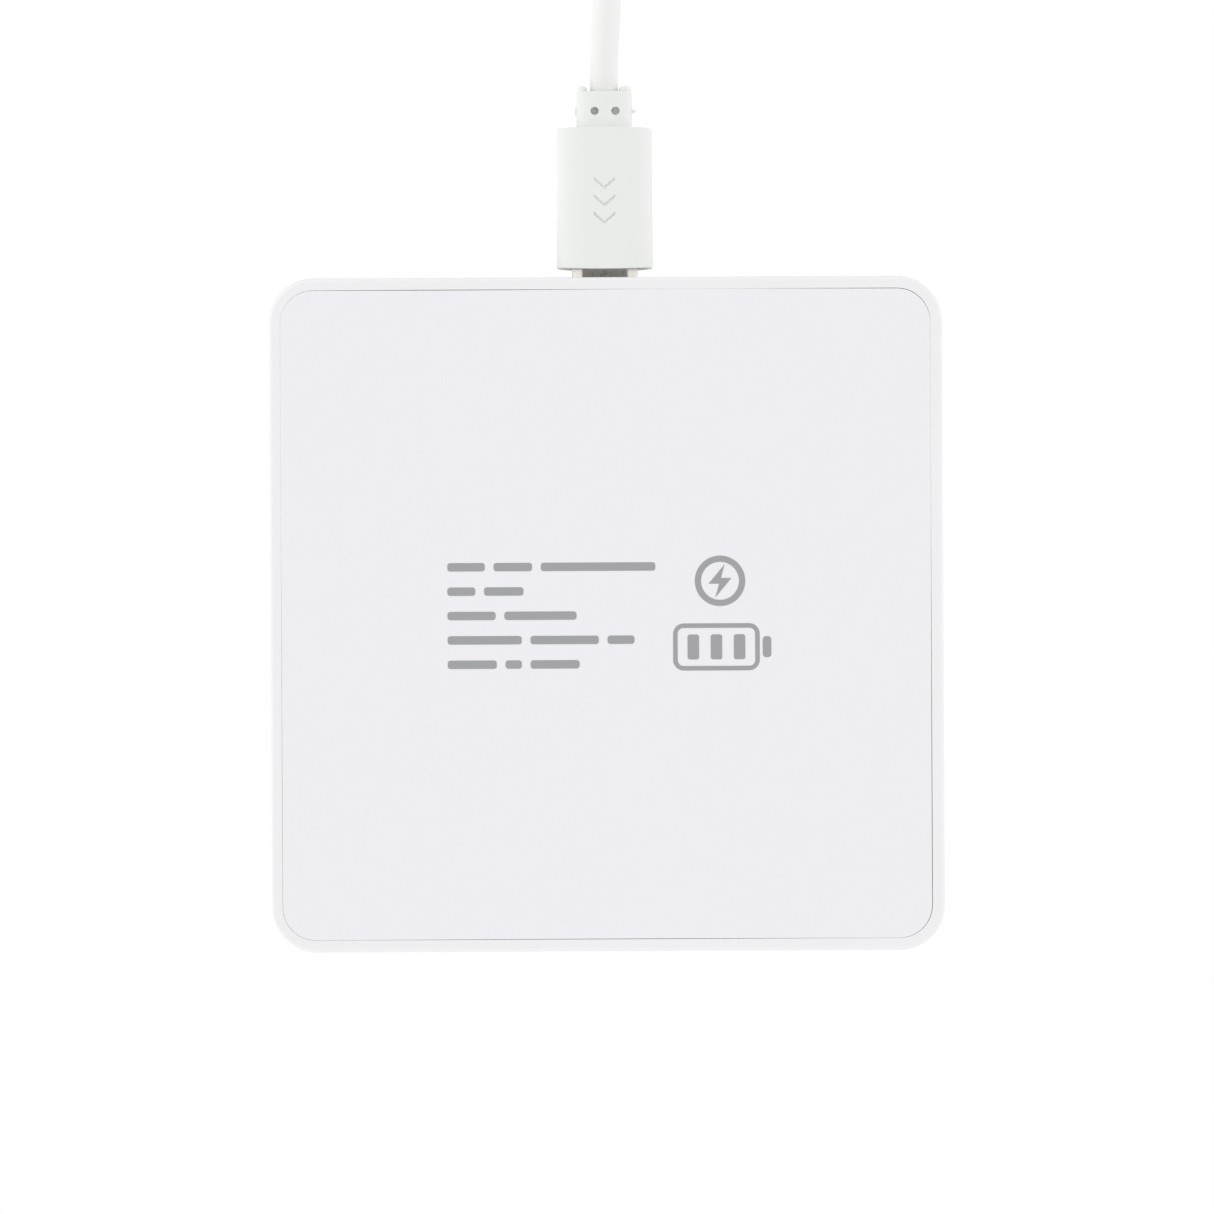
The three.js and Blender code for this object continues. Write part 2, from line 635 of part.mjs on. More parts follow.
// Plug body and strain relief in one moulding, hollow for what it is moulded round.
function microPlugOvermould() {
  const body = mouldedBody(PLUG_WIDTH, PLUG_THICK, PLUG_FRONT, PLUG_BACK, 0.3, 4, 0.07);
  const relief = mouldedBody(RELIEF_WIDTH, RELIEF_THICK, PLUG_BACK - 1, RELIEF_END, 0.15, 5);
  const ears = [-1, 1].map((side) => {
    const middle = side * (RELIEF_WIDTH / 2 - 0.75);
    const [start, end] = [RELIEF_END - 0.5, RELIEF_END + EAR_LENGTH];
    return mouldedBody(1.2, RELIEF_THICK - 1.4, start, end, 0.2, 3).translate(middle, 0, 0);
  });
  const ribs = [-1, 1].map((side) => {
    const tip = side * (RELIEF_WIDTH / 2 + 0.3);
    const root = side * (RELIEF_WIDTH / 2 - 0.6);
    const half = 0.38;
    const wedge = new THREE.Shape([
      new THREE.Vector2(root, PIN_MARK.y - half),
      new THREE.Vector2(tip, PIN_MARK.y),
      new THREE.Vector2(root, PIN_MARK.y + half),
    ]);
    return slab(wedge, -0.7, 0.7);
  });
  const pinMarks = [-PIN_MARK.x, PIN_MARK.x].map((x) =>
    post(PIN_MARK.radius, -RELIEF_THICK, PIN_MARK.depth - RELIEF_THICK / 2, x, PIN_MARK.y, 10),
  );
  const shellRoom = bar(microOutline(REST_GAP), PLUG_FRONT - 1, SHELL_BACK + REST_GAP);
  const insulatorRoom = bar(microOutline(-MICRO_WALL), SHELL_BACK - 1, INSULATOR_BACK + REST_GAP);
  const contactRoom = block([-2.6, SHELL_BACK - 1, -0.85], [2.6, CABLE_START - 0.1, 0.85]);
  const cableRoom = tunnel(CABLE_ROOM, CABLE_START - 0.2, RELIEF_END + 2);
  const rooms = [shellRoom, insulatorRoom, contactRoom, cableRoom];
  const face = -PLUG_THICK / 2;
  const marks = arrows(PLUG_FRONT + 4.6, -1, 1.8, face - 1, face + ARROW.depth);
  return cut(join(body, relief, ...ears, ...ribs), ...pinMarks, ...marks, ...rooms);
}

// An insulated conductor between a contact's tail and the end of the cable.
function conductor(from, to, radius = 0.42) {
  const middle = from.clone().lerp(to, 0.5);
  const bend = [
    new THREE.Vector3(from.x, THREE.MathUtils.lerp(from.y, to.y, 0.35), from.z),
    middle,
    new THREE.Vector3(to.x, THREE.MathUtils.lerp(from.y, to.y, 0.65), to.z),
  ];
  const line = new THREE.CatmullRomCurve3([from, ...bend, to]);
  const round = new THREE.Shape().absarc(0, 0, radius, 0, 2 * Math.PI);
  return new THREE.ExtrudeGeometry(round, { steps: 5, extrudePath: line, curveSegments: 3 });
}

function microWire(side) {
  const from = new THREE.Vector3(side * 2 * MICRO_PITCH, INSULATOR_BACK + 0.5, PLUG_CONTACT_TOP + 0.5);
  const to = new THREE.Vector3(side * 0.62, CABLE_START - 0.05, 0);
  return conductor(from, to);
}

// ---------------------------------------------------------------- cable: centre line

const TABLE_GAP = 0.05;
const TABLE_AXIS = CABLE_DIAMETER / 2 + TABLE_GAP; // height of a cable that lies on the table
const RING = { x: 21.2, y: 91, outer: 22.2 };
const TURN_GAP = 3.1; // between the centre lines of neighbouring turns
const LAYER_GAP = 3.05; // between the two layers of the coiled cable
const TURNS = 5.75;
const TYPE_A_AXIS = TYPE_A_BODY[2] / 2 + TABLE_GAP;
const TYPE_A_X = -16;
const LAST_BEND = 10; // radius of the bend into the USB-A plug
const TYPE_A_START = RING.y - RING.outer + LAST_BEND + 2; // where the USB-A plug's tail begins

const ramp = THREE.MathUtils.smoothstep;

// The coiled part winds clockwise from its leftmost point: two steps inwards on the table, up a
// layer, and two steps back outwards over the turns below.
function ringPoint(turn) {
  const inwards = ramp(turn, 0.72, 0.9) + ramp(turn, 1.72, 1.9);
  const outwards = ramp(turn, 3.2, 3.4) + ramp(turn, 4.2, 4.4);
  const radius = RING.outer - TURN_GAP * (inwards - outwards);
  const angle = Math.PI * (1 - 2 * turn);
  const z = TABLE_AXIS + LAYER_GAP * ramp(turn, 2.5, 2.68);
  return new THREE.Vector3(RING.x + radius * Math.cos(angle), RING.y + radius * Math.sin(angle), z);
}

function cableLine() {
  const points = [];
  const wall = PAD_SIDE / 2;
  const ringStart = RING.x - RING.outer;
  for (let y = wall + CABLE_START; y < RING.y - 2; y += 4) {
    const x = ringStart * ramp(y, 57, 78);
    const z = THREE.MathUtils.lerp(PORT_HEIGHT, TABLE_AXIS, ramp(y, 56, 67));
    points.push(new THREE.Vector3(x, y, z));
  }
  const perTurn = 24;
  for (let i = 0; i <= TURNS * perTurn; i++) {
    points.push(ringPoint(i / perTurn));
  }
  const top = TABLE_AXIS + LAYER_GAP;
  const lowY = RING.y - RING.outer;
  const bendX = TYPE_A_X + LAST_BEND;
  for (let x = RING.x - 5; x > bendX; x -= 4.5) {
    points.push(new THREE.Vector3(x, lowY, top));
  }
  for (let degrees = 0; degrees <= 90; degrees += 18) {
    const angle = THREE.MathUtils.degToRad(270 - degrees);
    const x = bendX + LAST_BEND * Math.cos(angle);
    const y = lowY + LAST_BEND * (1 + Math.sin(angle));
    points.push(new THREE.Vector3(x, y, THREE.MathUtils.lerp(top, TYPE_A_AXIS, ramp(degrees, 0, 90))));
  }
  points.push(new THREE.Vector3(TYPE_A_X, TYPE_A_START, TYPE_A_AXIS));
  points.push(new THREE.Vector3(TYPE_A_X, TYPE_A_START + TYPE_A_CABLE_END, TYPE_A_AXIS));
  return new THREE.CatmullRomCurve3(points, false, "centripetal");
}

function cable() {
  const round = new THREE.Shape().absarc(0, 0, CABLE_DIAMETER / 2, 0, 2 * Math.PI);
  return new THREE.ExtrudeGeometry(round, { steps: 175, extrudePath: cableLine(), curveSegments: 4 });
}

// ---------------------------------------------------------------- cable: USB-A plug, y from its tail

const TYPE_A_FRONT = TYPE_A_RELIEF + TYPE_A_BODY[1];
const TYPE_A_TIP = TYPE_A_FRONT + TYPE_A_REACH;
const TYPE_A_SHELL_BACK = TYPE_A_FRONT - 7;
const TYPE_A_CABLE_END = 11; // how far the cable runs into the plug
const TYPE_A_TONGUE_TOP = -0.15;
const TYPE_A_CONTACT_HALF = 0.55;

function rectangleTube(width, height, wall, start, end) {
  const outline = roundedRectangle(width, height, 0.4);
  outline.holes.push(roundedRectangle(width - 2 * wall, height - 2 * wall, 0.15));
  return bar(outline, start, end, 1);
}

function typeAShell() {
  const tube = rectangleTube(TYPE_A_WIDTH, TYPE_A_THICK, TYPE_A_WALL, TYPE_A_SHELL_BACK, TYPE_A_TIP);
  const windows = [-2.9, 2.9].flatMap((x) =>
    [-1, 1].map((side) => {
      const middle = TYPE_A_TIP - 6.2;
      const outer = side * TYPE_A_THICK;
      const inner = side * 1.7;
      const low = Math.min(outer, inner);
      return block([x - 1.2, middle - 1.1, low], [x + 1.2, middle + 1.1, Math.max(outer, inner)]);
    }),
  );
  return cut(tube, ...windows);
}

function typeAInsulator() {
  const halfWidth = TYPE_A_WIDTH / 2 - TYPE_A_WALL - REST_GAP;
  const halfHeight = TYPE_A_THICK / 2 - TYPE_A_WALL - REST_GAP;
  const start = TYPE_A_SHELL_BACK;
  const step = TYPE_A_FRONT + 1.2;
  const back = block([-halfWidth + 0.1, start, -halfHeight], [halfWidth - 0.1, step, halfHeight]);
  const tongue = block(
    [0.3 - halfWidth, step - 1, -halfHeight],
    [halfWidth - 0.3, TYPE_A_TIP - 0.5, TYPE_A_TONGUE_TOP],
  );
  const slots = TYPE_A_PITCHES.map((x) => {
    const half = TYPE_A_CONTACT_HALF + CONTACT_PLAY;
    const floor = TYPE_A_TONGUE_TOP - 0.1;
    const high = TYPE_A_TONGUE_TOP + 0.3;
    return block([x - half, start - 1, floor], [x + half, TYPE_A_TIP - 2.2, high]);
  });
  return cut(join(back, tongue), ...slots);
}

function typeAContact() {
  const start = TYPE_A_SHELL_BACK - 2.2;
  const low = TYPE_A_TONGUE_TOP - 0.1 + REST_GAP;
  const half = TYPE_A_CONTACT_HALF;
  return block([-half, start, low], [half, TYPE_A_TIP - 2.4, low + 0.25]);
}

function typeAOvermould() {
  const [width, length, thickness] = TYPE_A_BODY;
  const body = mouldedBody(width, thickness, TYPE_A_RELIEF, TYPE_A_RELIEF + length, 0.5, 6);
  const relief = mouldedBody(6.4, 5.2, 0, TYPE_A_RELIEF + 1, 0.4, 4);
  const shellRoom = block(
    [-TYPE_A_WIDTH / 2 - REST_GAP, TYPE_A_SHELL_BACK - REST_GAP, -TYPE_A_THICK / 2 - REST_GAP],
    [TYPE_A_WIDTH / 2 + REST_GAP, TYPE_A_FRONT + 1, TYPE_A_THICK / 2 + REST_GAP],
  );
  const wireRoom = block([-4.9, TYPE_A_CABLE_END - 0.1, -1.95], [4.9, TYPE_A_SHELL_BACK + 0.5, 1.95]);
  const cableRoom = tunnel(CABLE_ROOM, -1, TYPE_A_CABLE_END + 0.2);
  const face = thickness / 2;
  const marks = arrows(TYPE_A_RELIEF + 13, 1, 2.1, face - ARROW.depth, face + 1);
  const grips = [6, 8, 10, 12, 14].flatMap((offset) =>
    [-width / 2, width / 2].map((x) => {
      const y = TYPE_A_RELIEF + offset;
      return block([x - 0.25, y - 0.4, -2], [x + 0.25, y + 0.4, 2]);
    }),
  );
  return cut(join(body, relief), shellRoom, wireRoom, cableRoom, ...marks, ...grips);
}

function typeAWire(side) {
  const from = new THREE.Vector3(side * 0.62, TYPE_A_CABLE_END + 0.05, 0);
  const to = new THREE.Vector3(side * 3.5, TYPE_A_SHELL_BACK - 1, TYPE_A_TONGUE_TOP + 0.65);
  return conductor(from, to);
}

// ---------------------------------------------------------------- assembly

const pad = new THREE.Group();
pad.add(
  named("top_cover", topCover(), WHITE_ABS),
  named("base_plate", basePlate(), WHITE_PLATE),
  named("status_light_pipe", lightPipe(), CLEAR_PIPE, 0, 0, PIPE_HEIGHT),
  named("coil_adhesive_ring", coilTape(), TAPE),
  named("transmitter_coil", coil(), COPPER),
  named("ferrite_shield", shield(), FERRITE),
  named("shield_adhesive_disc", shieldTape(), TAPE),
  named("circuit_board", circuitBoard(), BOARD_GREEN),
);

const underBoard = new THREE.Group();
underBoard.position.z = BOARD_UNDERSIDE - REST_GAP;
underBoard.add(
  named("controller_chip", block([-2.5, -2.5, -0.9], [2.5, 2.5, 0]), BLACK_PLASTIC, 4, 14),
  named("driver_chip_left", leadedChip(3.9, 4.9, 1.5, 4, 1.27), BLACK_PLASTIC, -9, 15),
  named("driver_chip_right", leadedChip(3.9, 4.9, 1.5, 4, 1.27), BLACK_PLASTIC, -9, 7),
  named("input_capacitor", chipPart(3.2, 2.5, 1.7), CERAMIC, 11, 21),
  named("buffer_capacitor", chipPart(3.2, 2.5, 1.7), CERAMIC, 11, 17),
  named("sense_resistor", chipPart(3.2, 1.6, 0.6), BLACK_PLASTIC, -9, 21.5),
  named("status_led", chipPart(1.8, 0.9, 0.7, 0.35), LED_CLEAR, 0, -31),
  named("led_resistor", chipPart(1.6, 0.8, 0.5, 0.3), BLACK_PLASTIC, 4.2, -30.5),
);
[9, 12, 15, 18].forEach((x, i) => {
  const capacitor = named(`resonant_capacitor_${i + 1}`, chipPart(3.2, 1.6, 1.3), CERAMIC, x, 6);
  capacitor.rotation.z = Math.PI / 2;
  underBoard.add(capacitor);
});
[-SCREW_OFFSET, SCREW_OFFSET].forEach((x, column) =>
  [-SCREW_OFFSET, SCREW_OFFSET].forEach((y, row) =>
    underBoard.add(named(`board_screw_${2 * column + row + 1}`, boardScrew(), STEEL, x, y)),
  ),
);
pad.add(underBoard);

// Port and plug share one frame: its origin is where the port axis meets the pad's wall.
const port = new THREE.Group();
port.position.set(0, PAD_SIDE / 2, PORT_HEIGHT);
port.add(named("port_shell", portShell(), STEEL), named("port_tongue", portTongue(), BLACK_PLASTIC));
contactPositions.forEach((x, i) => port.add(named(`port_contact_${i + 1}`, portContact(), GOLD, x)));
pad.add(port);

const microPlug = new THREE.Group();
microPlug.position.copy(port.position);
microPlug.add(
  named("micro_plug_body", microPlugOvermould(), WHITE_PVC),
  named("micro_plug_shell", microPlugShell(), STEEL),
  named("micro_plug_insulator", microPlugInsulator(), BLACK_PLASTIC),
  named("micro_plug_latch_left", microPlugLatch(), STEEL, -LATCH_X),
  named("micro_plug_latch_right", microPlugLatch(), STEEL, LATCH_X),
  named("micro_plug_power_wire", microWire(1), WIRE_RED),
  named("micro_plug_ground_wire", microWire(-1), WIRE_BLACK),
);
contactPositions.forEach((x, i) =>
  microPlug.add(named(`micro_plug_contact_${i + 1}`, microPlugContact(), GOLD, x)),
);

const typeAPlug = new THREE.Group();
typeAPlug.position.set(TYPE_A_X, TYPE_A_START, TYPE_A_AXIS);
typeAPlug.add(
  named("large_plug_body", typeAOvermould(), WHITE_PVC),
  named("large_plug_shell", typeAShell(), STEEL),
  named("large_plug_insulator", typeAInsulator(), BLACK_PLASTIC),
  named("large_plug_power_wire", typeAWire(1), WIRE_RED),
  named("large_plug_ground_wire", typeAWire(-1), WIRE_BLACK),
);
TYPE_A_PITCHES.forEach((x, i) =>
  typeAPlug.add(named(`large_plug_contact_${i + 1}`, typeAContact(), GOLD, x)),
);

const chargingPad = new THREE.Group();
chargingPad.add(pad, microPlug, typeAPlug, named("cable", cable(), WHITE_PVC));

export default chargingPad;
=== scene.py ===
"""The looks of a square wireless charging pad and its cable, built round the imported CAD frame.

Shapes are worked out in millimetres, in the frame's axes: the underside lies at z = 0, the charging
face points to +Z, and the plug leaves the wall at +Y. Meshes are scaled to metres when made.
"""

import math

import bmesh
import bpy
from mathutils import Matrix, Vector

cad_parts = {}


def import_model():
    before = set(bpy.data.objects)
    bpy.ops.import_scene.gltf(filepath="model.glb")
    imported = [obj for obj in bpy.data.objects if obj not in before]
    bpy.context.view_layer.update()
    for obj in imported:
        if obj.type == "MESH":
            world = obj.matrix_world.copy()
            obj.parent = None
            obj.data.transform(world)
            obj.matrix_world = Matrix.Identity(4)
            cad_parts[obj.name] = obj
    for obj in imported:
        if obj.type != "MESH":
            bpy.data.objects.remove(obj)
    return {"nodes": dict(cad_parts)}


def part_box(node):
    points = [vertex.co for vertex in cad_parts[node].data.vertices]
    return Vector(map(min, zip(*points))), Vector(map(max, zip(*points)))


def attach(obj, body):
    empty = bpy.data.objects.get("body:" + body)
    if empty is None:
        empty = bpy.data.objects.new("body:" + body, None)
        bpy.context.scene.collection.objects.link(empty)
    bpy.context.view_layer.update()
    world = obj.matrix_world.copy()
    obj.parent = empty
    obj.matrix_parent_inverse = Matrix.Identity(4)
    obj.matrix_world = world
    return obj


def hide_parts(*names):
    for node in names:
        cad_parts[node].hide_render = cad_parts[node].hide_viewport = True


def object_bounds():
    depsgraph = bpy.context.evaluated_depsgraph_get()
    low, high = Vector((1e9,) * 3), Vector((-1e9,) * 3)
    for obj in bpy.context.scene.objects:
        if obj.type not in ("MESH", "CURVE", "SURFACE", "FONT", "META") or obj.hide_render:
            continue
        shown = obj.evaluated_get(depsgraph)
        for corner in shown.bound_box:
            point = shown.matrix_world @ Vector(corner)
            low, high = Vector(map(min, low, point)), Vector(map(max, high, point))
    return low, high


MM = 0.001
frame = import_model()
cad_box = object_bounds()
nodes = frame["nodes"]


def box_mm(node):
    """Lowest and highest corner of a CAD node, in millimetres."""
    low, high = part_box(node)
    return low / MM, high / MM


def centre_mm(node):
    low, high = box_mm(node)
    return (low + high) / 2


# -------------------- sizes, from the frame

GAP = 0.03  # between a piece and the room that another piece leaves for it
CUT = 1.0  # how far a cutter reaches beyond what it cuts

COVER_HIGH = box_mm("top_cover")[1]
PAD_HALF = COVER_HIGH.x
WALL_Y = COVER_HIGH.y
PAD_TOP = COVER_HIGH.z
PAD_CORNER = 4.7
UPPER_EDGE = 1.2
LOWER_EDGE = 0.45
RIM = 1.26
LIP = 0.05  # rounding of the edges that face the gap round the base plate
WALL = 2.0
ROOF = 1.2

POCKET_HALF = PAD_HALF - RIM
PLATE_THICKNESS = 1.2
POCKET_TOP = PLATE_THICKNESS + GAP
HOOK_OFFSET = 18  # from the middle of a side to each of its two snap hooks
HOOK_WIDTH = 5
HOOK_THICKNESS = 0.9
HOOK_TOP = 3.3
NUB_LOW = 2.4
NUB_HIGH = 3.0
NUB_REACH = 0.4
PLAY = 0.15  # between a hook and the wall, and round its nub

PLUG_FRONT = box_mm("micro_plug_body")[0].y
PORT_Z = centre_mm("micro_plug_body").z
PLUG_WIDTH = 10.0
PLUG_LENGTH = 14.7
PLUG_THICK = 5.9
RELIEF_WIDTH = 5.72
RELIEF_LENGTH = 3.75
RELIEF_THICK = 4.6
MARK_DEPTH = 0.22
SHELL_LOW, SHELL_HIGH = box_mm("micro_plug_shell")
SHELL_WALL = 0.25
SHELL_CHAMFER = 1.0

LARGE_LOW, LARGE_HIGH = box_mm("large_plug_body")
LARGE_X, _, LARGE_Z = centre_mm("large_plug_body")
LARGE_SHELL_LOW, LARGE_SHELL_HIGH = box_mm("large_plug_shell")
LARGE_CABLE_END = LARGE_LOW.y + 11
CABLE_LOW, CABLE_HIGH = box_mm("cable")
CABLE_RADIUS = 1.45
COIL_WIRE = 0.525  # radius of the coil's wire


# -------------------- materials


def linear(*srgb):
    """A colour given as 0 to 255 screen values, as Blender's linear values."""
    values = [v / 255 for v in srgb]
    return tuple(v / 12.92 if v <= 0.04045 else ((v + 0.055) / 1.055) ** 2.4 for v in values) + (1,)


class Graph:
    """Shorthand for building a node tree. A value is a number or another node's output."""

    def __init__(self, tree):
        self.tree = tree

    def add(self, kind, **settings):
        node = self.tree.nodes.new(kind)
        for key, value in settings.items():
            setattr(node, key, value)
        return node

    def feed(self, value, socket):
        if isinstance(value, bpy.types.NodeSocket):
            self.tree.links.new(value, socket)
        else:
            socket.default_value = value

    def ranged(self, value, low, high, start, end, kind="SMOOTHSTEP"):
        """Maps low to high onto start to end, and holds the ends beyond."""
        node = self.add("ShaderNodeMapRange", interpolation_type=kind)
        for key, number in zip(("From Min", "From Max", "To Min", "To Max"), (low, high, start, end)):
            node.inputs[key].default_value = number
        self.feed(value, node.inputs["Value"])
        return node.outputs["Result"]

    def math(self, operation, first, second):
        node = self.add("ShaderNodeMath", operation=operation)
        self.feed(first, node.inputs[0])
        self.feed(second, node.inputs[1])
        return node.outputs[0]

    def choose(self, factor, plain, other):
        """Plain where the factor is 0, and other where it is 1."""
        node = self.add("ShaderNodeMix")
        for number, value in ((0, factor), (2, plain), (3, other)):
            self.feed(value, node.inputs[number])
        return node.outputs[0]

    def parts(self, vector):
        """The x, y and z of a vector, or the three values of a colour."""
        node = self.add("ShaderNodeSeparateXYZ")
        self.feed(vector, node.inputs[0])
        return node.outputs

    def camera_height(self):
        """From -1, with the camera straight below the object, to 1, with it straight above."""
        point = self.add("ShaderNodeVectorTransform", vector_type="POINT", convert_from="CAMERA",
                         convert_to="WORLD")
        point.inputs[0].default_value = (0, 0, 0)
        direction = self.add("ShaderNodeVectorMath", operation="NORMALIZE")
        self.feed(point.outputs[0], direction.inputs[0])
        return self.parts(direction.outputs[0])[2]


class Finish(Graph):
    """A principled material with procedural grain, mottling and roughness variation."""

    def __init__(self, name, color, roughness, metallic=0.0, **inputs):
        self.material = bpy.data.materials.new(name)
        self.material.use_nodes = True
        super().__init__(self.material.node_tree)
        self.shader = self.tree.nodes["Principled BSDF"]
        self.feed(color, self.shader.inputs["Base Color"])
        self.feed(roughness, self.shader.inputs["Roughness"])
        self.feed(metallic, self.shader.inputs["Metallic"])
        for key, value in inputs.items():
            self.feed(value, self.shader.inputs[key.replace("_", " ")])
        self.color = color
        self.roughness = roughness
        self.place = self.add("ShaderNodeTexCoord").outputs["Object"]
        self.normal = None

    def noise(self, size, detail=2.0, stretch=(1, 1, 1)):
        """Noise whose features measure about size millimetres."""
        mapping = self.add("ShaderNodeMapping")
        mapping.inputs["Scale"].default_value = stretch
        self.feed(self.place, mapping.inputs["Vector"])
        texture = self.add("ShaderNodeTexNoise")
        self.feed(1 / (size * MM), texture.inputs["Scale"])
        self.feed(detail, texture.inputs["Detail"])
        self.feed(mapping.outputs["Vector"], texture.inputs["Vector"])
        return texture.outputs["Fac"]

    def bump(self, height, depth):
        """Adds height, a value from 0 to 1, as relief of depth millimetres."""
        bump = self.add("ShaderNodeBump")
        self.feed(depth * MM, bump.inputs["Distance"])
        self.feed(height, bump.inputs["Height"])
        if self.normal:
            self.feed(self.normal, bump.inputs["Normal"])
        self.normal = bump.outputs["Normal"]
        self.feed(self.normal, self.shader.inputs["Normal"])

    def grain(self, size, depth, stretch=(1, 1, 1), detail=3.0):
        """Adds relief of depth millimetres whose features measure about size millimetres."""
        self.bump(self.noise(size, detail, stretch), depth)

    def uneven_gloss(self, size, amount, stretch=(1, 1, 1)):
        """Lets the roughness wander by the given amount in patches of about size millimetres."""
        factor = self.noise(size, 2.0, stretch)
        low, high = self.roughness - amount, self.roughness + amount
        self.feed(self.ranged(factor, 0.3, 0.7, low, high, "LINEAR"), self.shader.inputs["Roughness"])

    def mottle(self, size, other):
        """Blends towards another colour in patches of about size millimetres."""
        patches = self.ranged(self.noise(size), 0.3, 0.7, 0.0, 1.0, "LINEAR")
        self.blend_color(patches, other)

    def blend_color(self, factor, other):
        """Blends towards another colour, on top of any earlier blend."""
        mix = self.add("ShaderNodeMix", data_type="RGBA")
        self.feed(factor, mix.inputs[0])
        self.feed(self.color, mix.inputs[6])
        self.feed(other, mix.inputs[7])
        self.color = mix.outputs[2]
        self.feed(self.color, self.shader.inputs["Base Color"])

    def cells(self, size, **settings):
        """Cells of about size millimetres: the distance to a cell's point, and its random values."""
        texture = self.add("ShaderNodeTexVoronoi", **settings)
        self.feed(1 / (size * MM), texture.inputs["Scale"])
        self.feed(self.place, texture.inputs["Vector"])
        return texture.outputs["Distance"], self.parts(texture.outputs["Color"])

    def tracks(self, length, pitch, line, turn):
        """1 on straight lines pitch millimetres apart, with cross lines every length."""
        mapping = self.add("ShaderNodeMapping")
        mapping.inputs["Rotation"].default_value.z = math.radians(turn)
        self.feed(self.place, mapping.inputs["Vector"])
        texture = self.add("ShaderNodeTexBrick")
        self.feed(mapping.outputs["Vector"], texture.inputs["Vector"])
        sizes = {"Scale": 1 / MM, "Brick Width": length, "Row Height": pitch, "Mortar Size": line / 2}
        for key, value in sizes.items():
            self.feed(value, texture.inputs[key])
        return texture.outputs["Fac"]


def moulded(name, color, roughness, grain, depth, **inputs):
    """White or black moulded plastic: an even fine grain over a faint larger unevenness."""
    finish = Finish(name, color, roughness, **inputs)
    warmer = (color[0] * 0.995, color[1] * 0.994, color[2] * 0.988, 1)
    finish.mottle(14, warmer)
    finish.uneven_gloss(3, 0.02)
    finish.grain(6, depth * 1.5, detail=1.0)
    finish.grain(grain, depth)
    return finish.material


def stamped_metal(name, color, roughness, along, dent=0.002):
    """Plated sheet metal with drawing marks that run along one axis, and shallow waviness."""
    finish = Finish(name, color, roughness, metallic=1.0)
    darker = tuple(value * 0.93 for value in color[:3]) + (1,)
    lines = tuple(0.06 if axis == along else 1.0 for axis in "xyz")
    finish.mottle(1.5, darker)
    finish.uneven_gloss(0.12, 0.05, lines)
    finish.grain(0.8, dent, detail=2.0)
    finish.grain(0.05, 0.0003, lines)
    return finish.material


def copper_wire():
    """Enamelled strands, twisted together: diagonal ridges round the wire, with painted shade in the
    grooves between them and a painted highlight on their crests.
    """
    finish = Finish("copper_wire", (0.62, 0.24, 0.09, 1), 0.3, metallic=0.9, Coat_Weight=0.6)
    wave = finish.add("ShaderNodeTexWave", wave_type="RINGS", rings_direction="Z")
    finish.feed(1 / (1.1 * MM), wave.inputs["Scale"])
    finish.feed(1.5, wave.inputs["Distortion"])
    finish.feed(finish.place, wave.inputs["Vector"])
    finish.bump(wave.outputs["Fac"], 0.02)
    # Painted shade and highlight: the same wave as the bump paints the ridges a lighter copper and
    # leaves the grooves between them darker.
    finish.blend_color(wave.outputs["Fac"], (0.78, 0.36, 0.15, 1))
    finish.grain(0.15, 0.004)
    return finish.material


def solder_mask():
    """Green lacquer, paler over the copper tracks that run in patches, with small plated holes."""
    finish = Finish("solder_mask", linear(28, 96, 62), 0.35, Coat_Weight=0.5)
    pick = finish.cells(9.0, distance="CHEBYCHEV")[1]
    along_x, along_y = (finish.tracks(5.3, 0.9, 0.22, turn) for turn in (0, 90))
    tracks = finish.choose(finish.math("GREATER_THAN", pick[0], 0.5), along_x, along_y)
    tracks = finish.math("MULTIPLY", tracks, finish.math("GREATER_THAN", pick[1], 0.5))
    holes = finish.ranged(finish.cells(2.6)[0], 0.08, 0.1, 1.0, 0.0)
    finish.blend_color(finish.math("MULTIPLY", tracks, 0.6), linear(52, 132, 84))
    finish.blend_color(holes, linear(150, 140, 96))
    finish.bump(tracks, 0.02)
    finish.bump(holes, -0.03)
    finish.grain(0.5, 0.002)
    return finish.material


def tinned_ends(name, color, speck, along, share):
    """A small electronic part whose ends are tinned, each over a share of its length."""
    finish = Finish(name, color, 0.5)
    finish.mottle(0.2, speck)
    shares = finish.parts(finish.add("ShaderNodeTexCoord").outputs["Generated"])
    off_middle = finish.math("SUBTRACT", shares["xyz".index(along)], 0.5)
    off_middle = finish.math("ABSOLUTE", off_middle, 0.0)
    tinned = finish.math("GREATER_THAN", off_middle, 0.5 - share)
    finish.blend_color(tinned, linear(205, 206, 208))
    finish.feed(tinned, finish.shader.inputs["Metallic"])
    finish.feed(finish.ranged(tinned, 0.0, 1.0, 0.5, 0.3), finish.shader.inputs["Roughness"])
    finish.grain(0.2, 0.004)
    return finish.material


def sintered(name, color, speck, size):
    """Pressed and fired powder: a matt surface with fine specks."""
    finish = Finish(name, color, 0.6)
    finish.mottle(size, speck)
    finish.uneven_gloss(size * 2, 0.1)
    finish.grain(size, 0.006)
    return finish.material


WHITE_COVER = moulded("white_cover", linear(245, 245, 247), 0.42, 0.35, 0.0045)
WHITE_PLATE = moulded("white_plate", linear(247, 246, 251), 0.28, 0.6, 0.0012, Coat_Weight=0.25,
                      Coat_Roughness=0.12)
WHITE_PLUG = moulded("white_plug", linear(239, 241, 238), 0.5, 0.4, 0.005)
WHITE_JACKET = moulded("white_jacket", linear(243, 244, 242), 0.46, 0.5, 0.004)
GREY_INK = moulded("grey_ink", linear(164, 165, 167), 0.55, 0.25, 0.003)
CLEAR_LENS = moulded("clear_lens", linear(232, 236, 240), 0.3, 0.8, 0.001, Transmission_Weight=0.25,
                     IOR=1.49)
BLACK_PLASTIC = moulded("black_plastic", linear(30, 30, 32), 0.42, 0.3, 0.004)
CHIP_EPOXY = moulded("chip_epoxy", linear(38, 38, 40), 0.6, 0.12, 0.006)
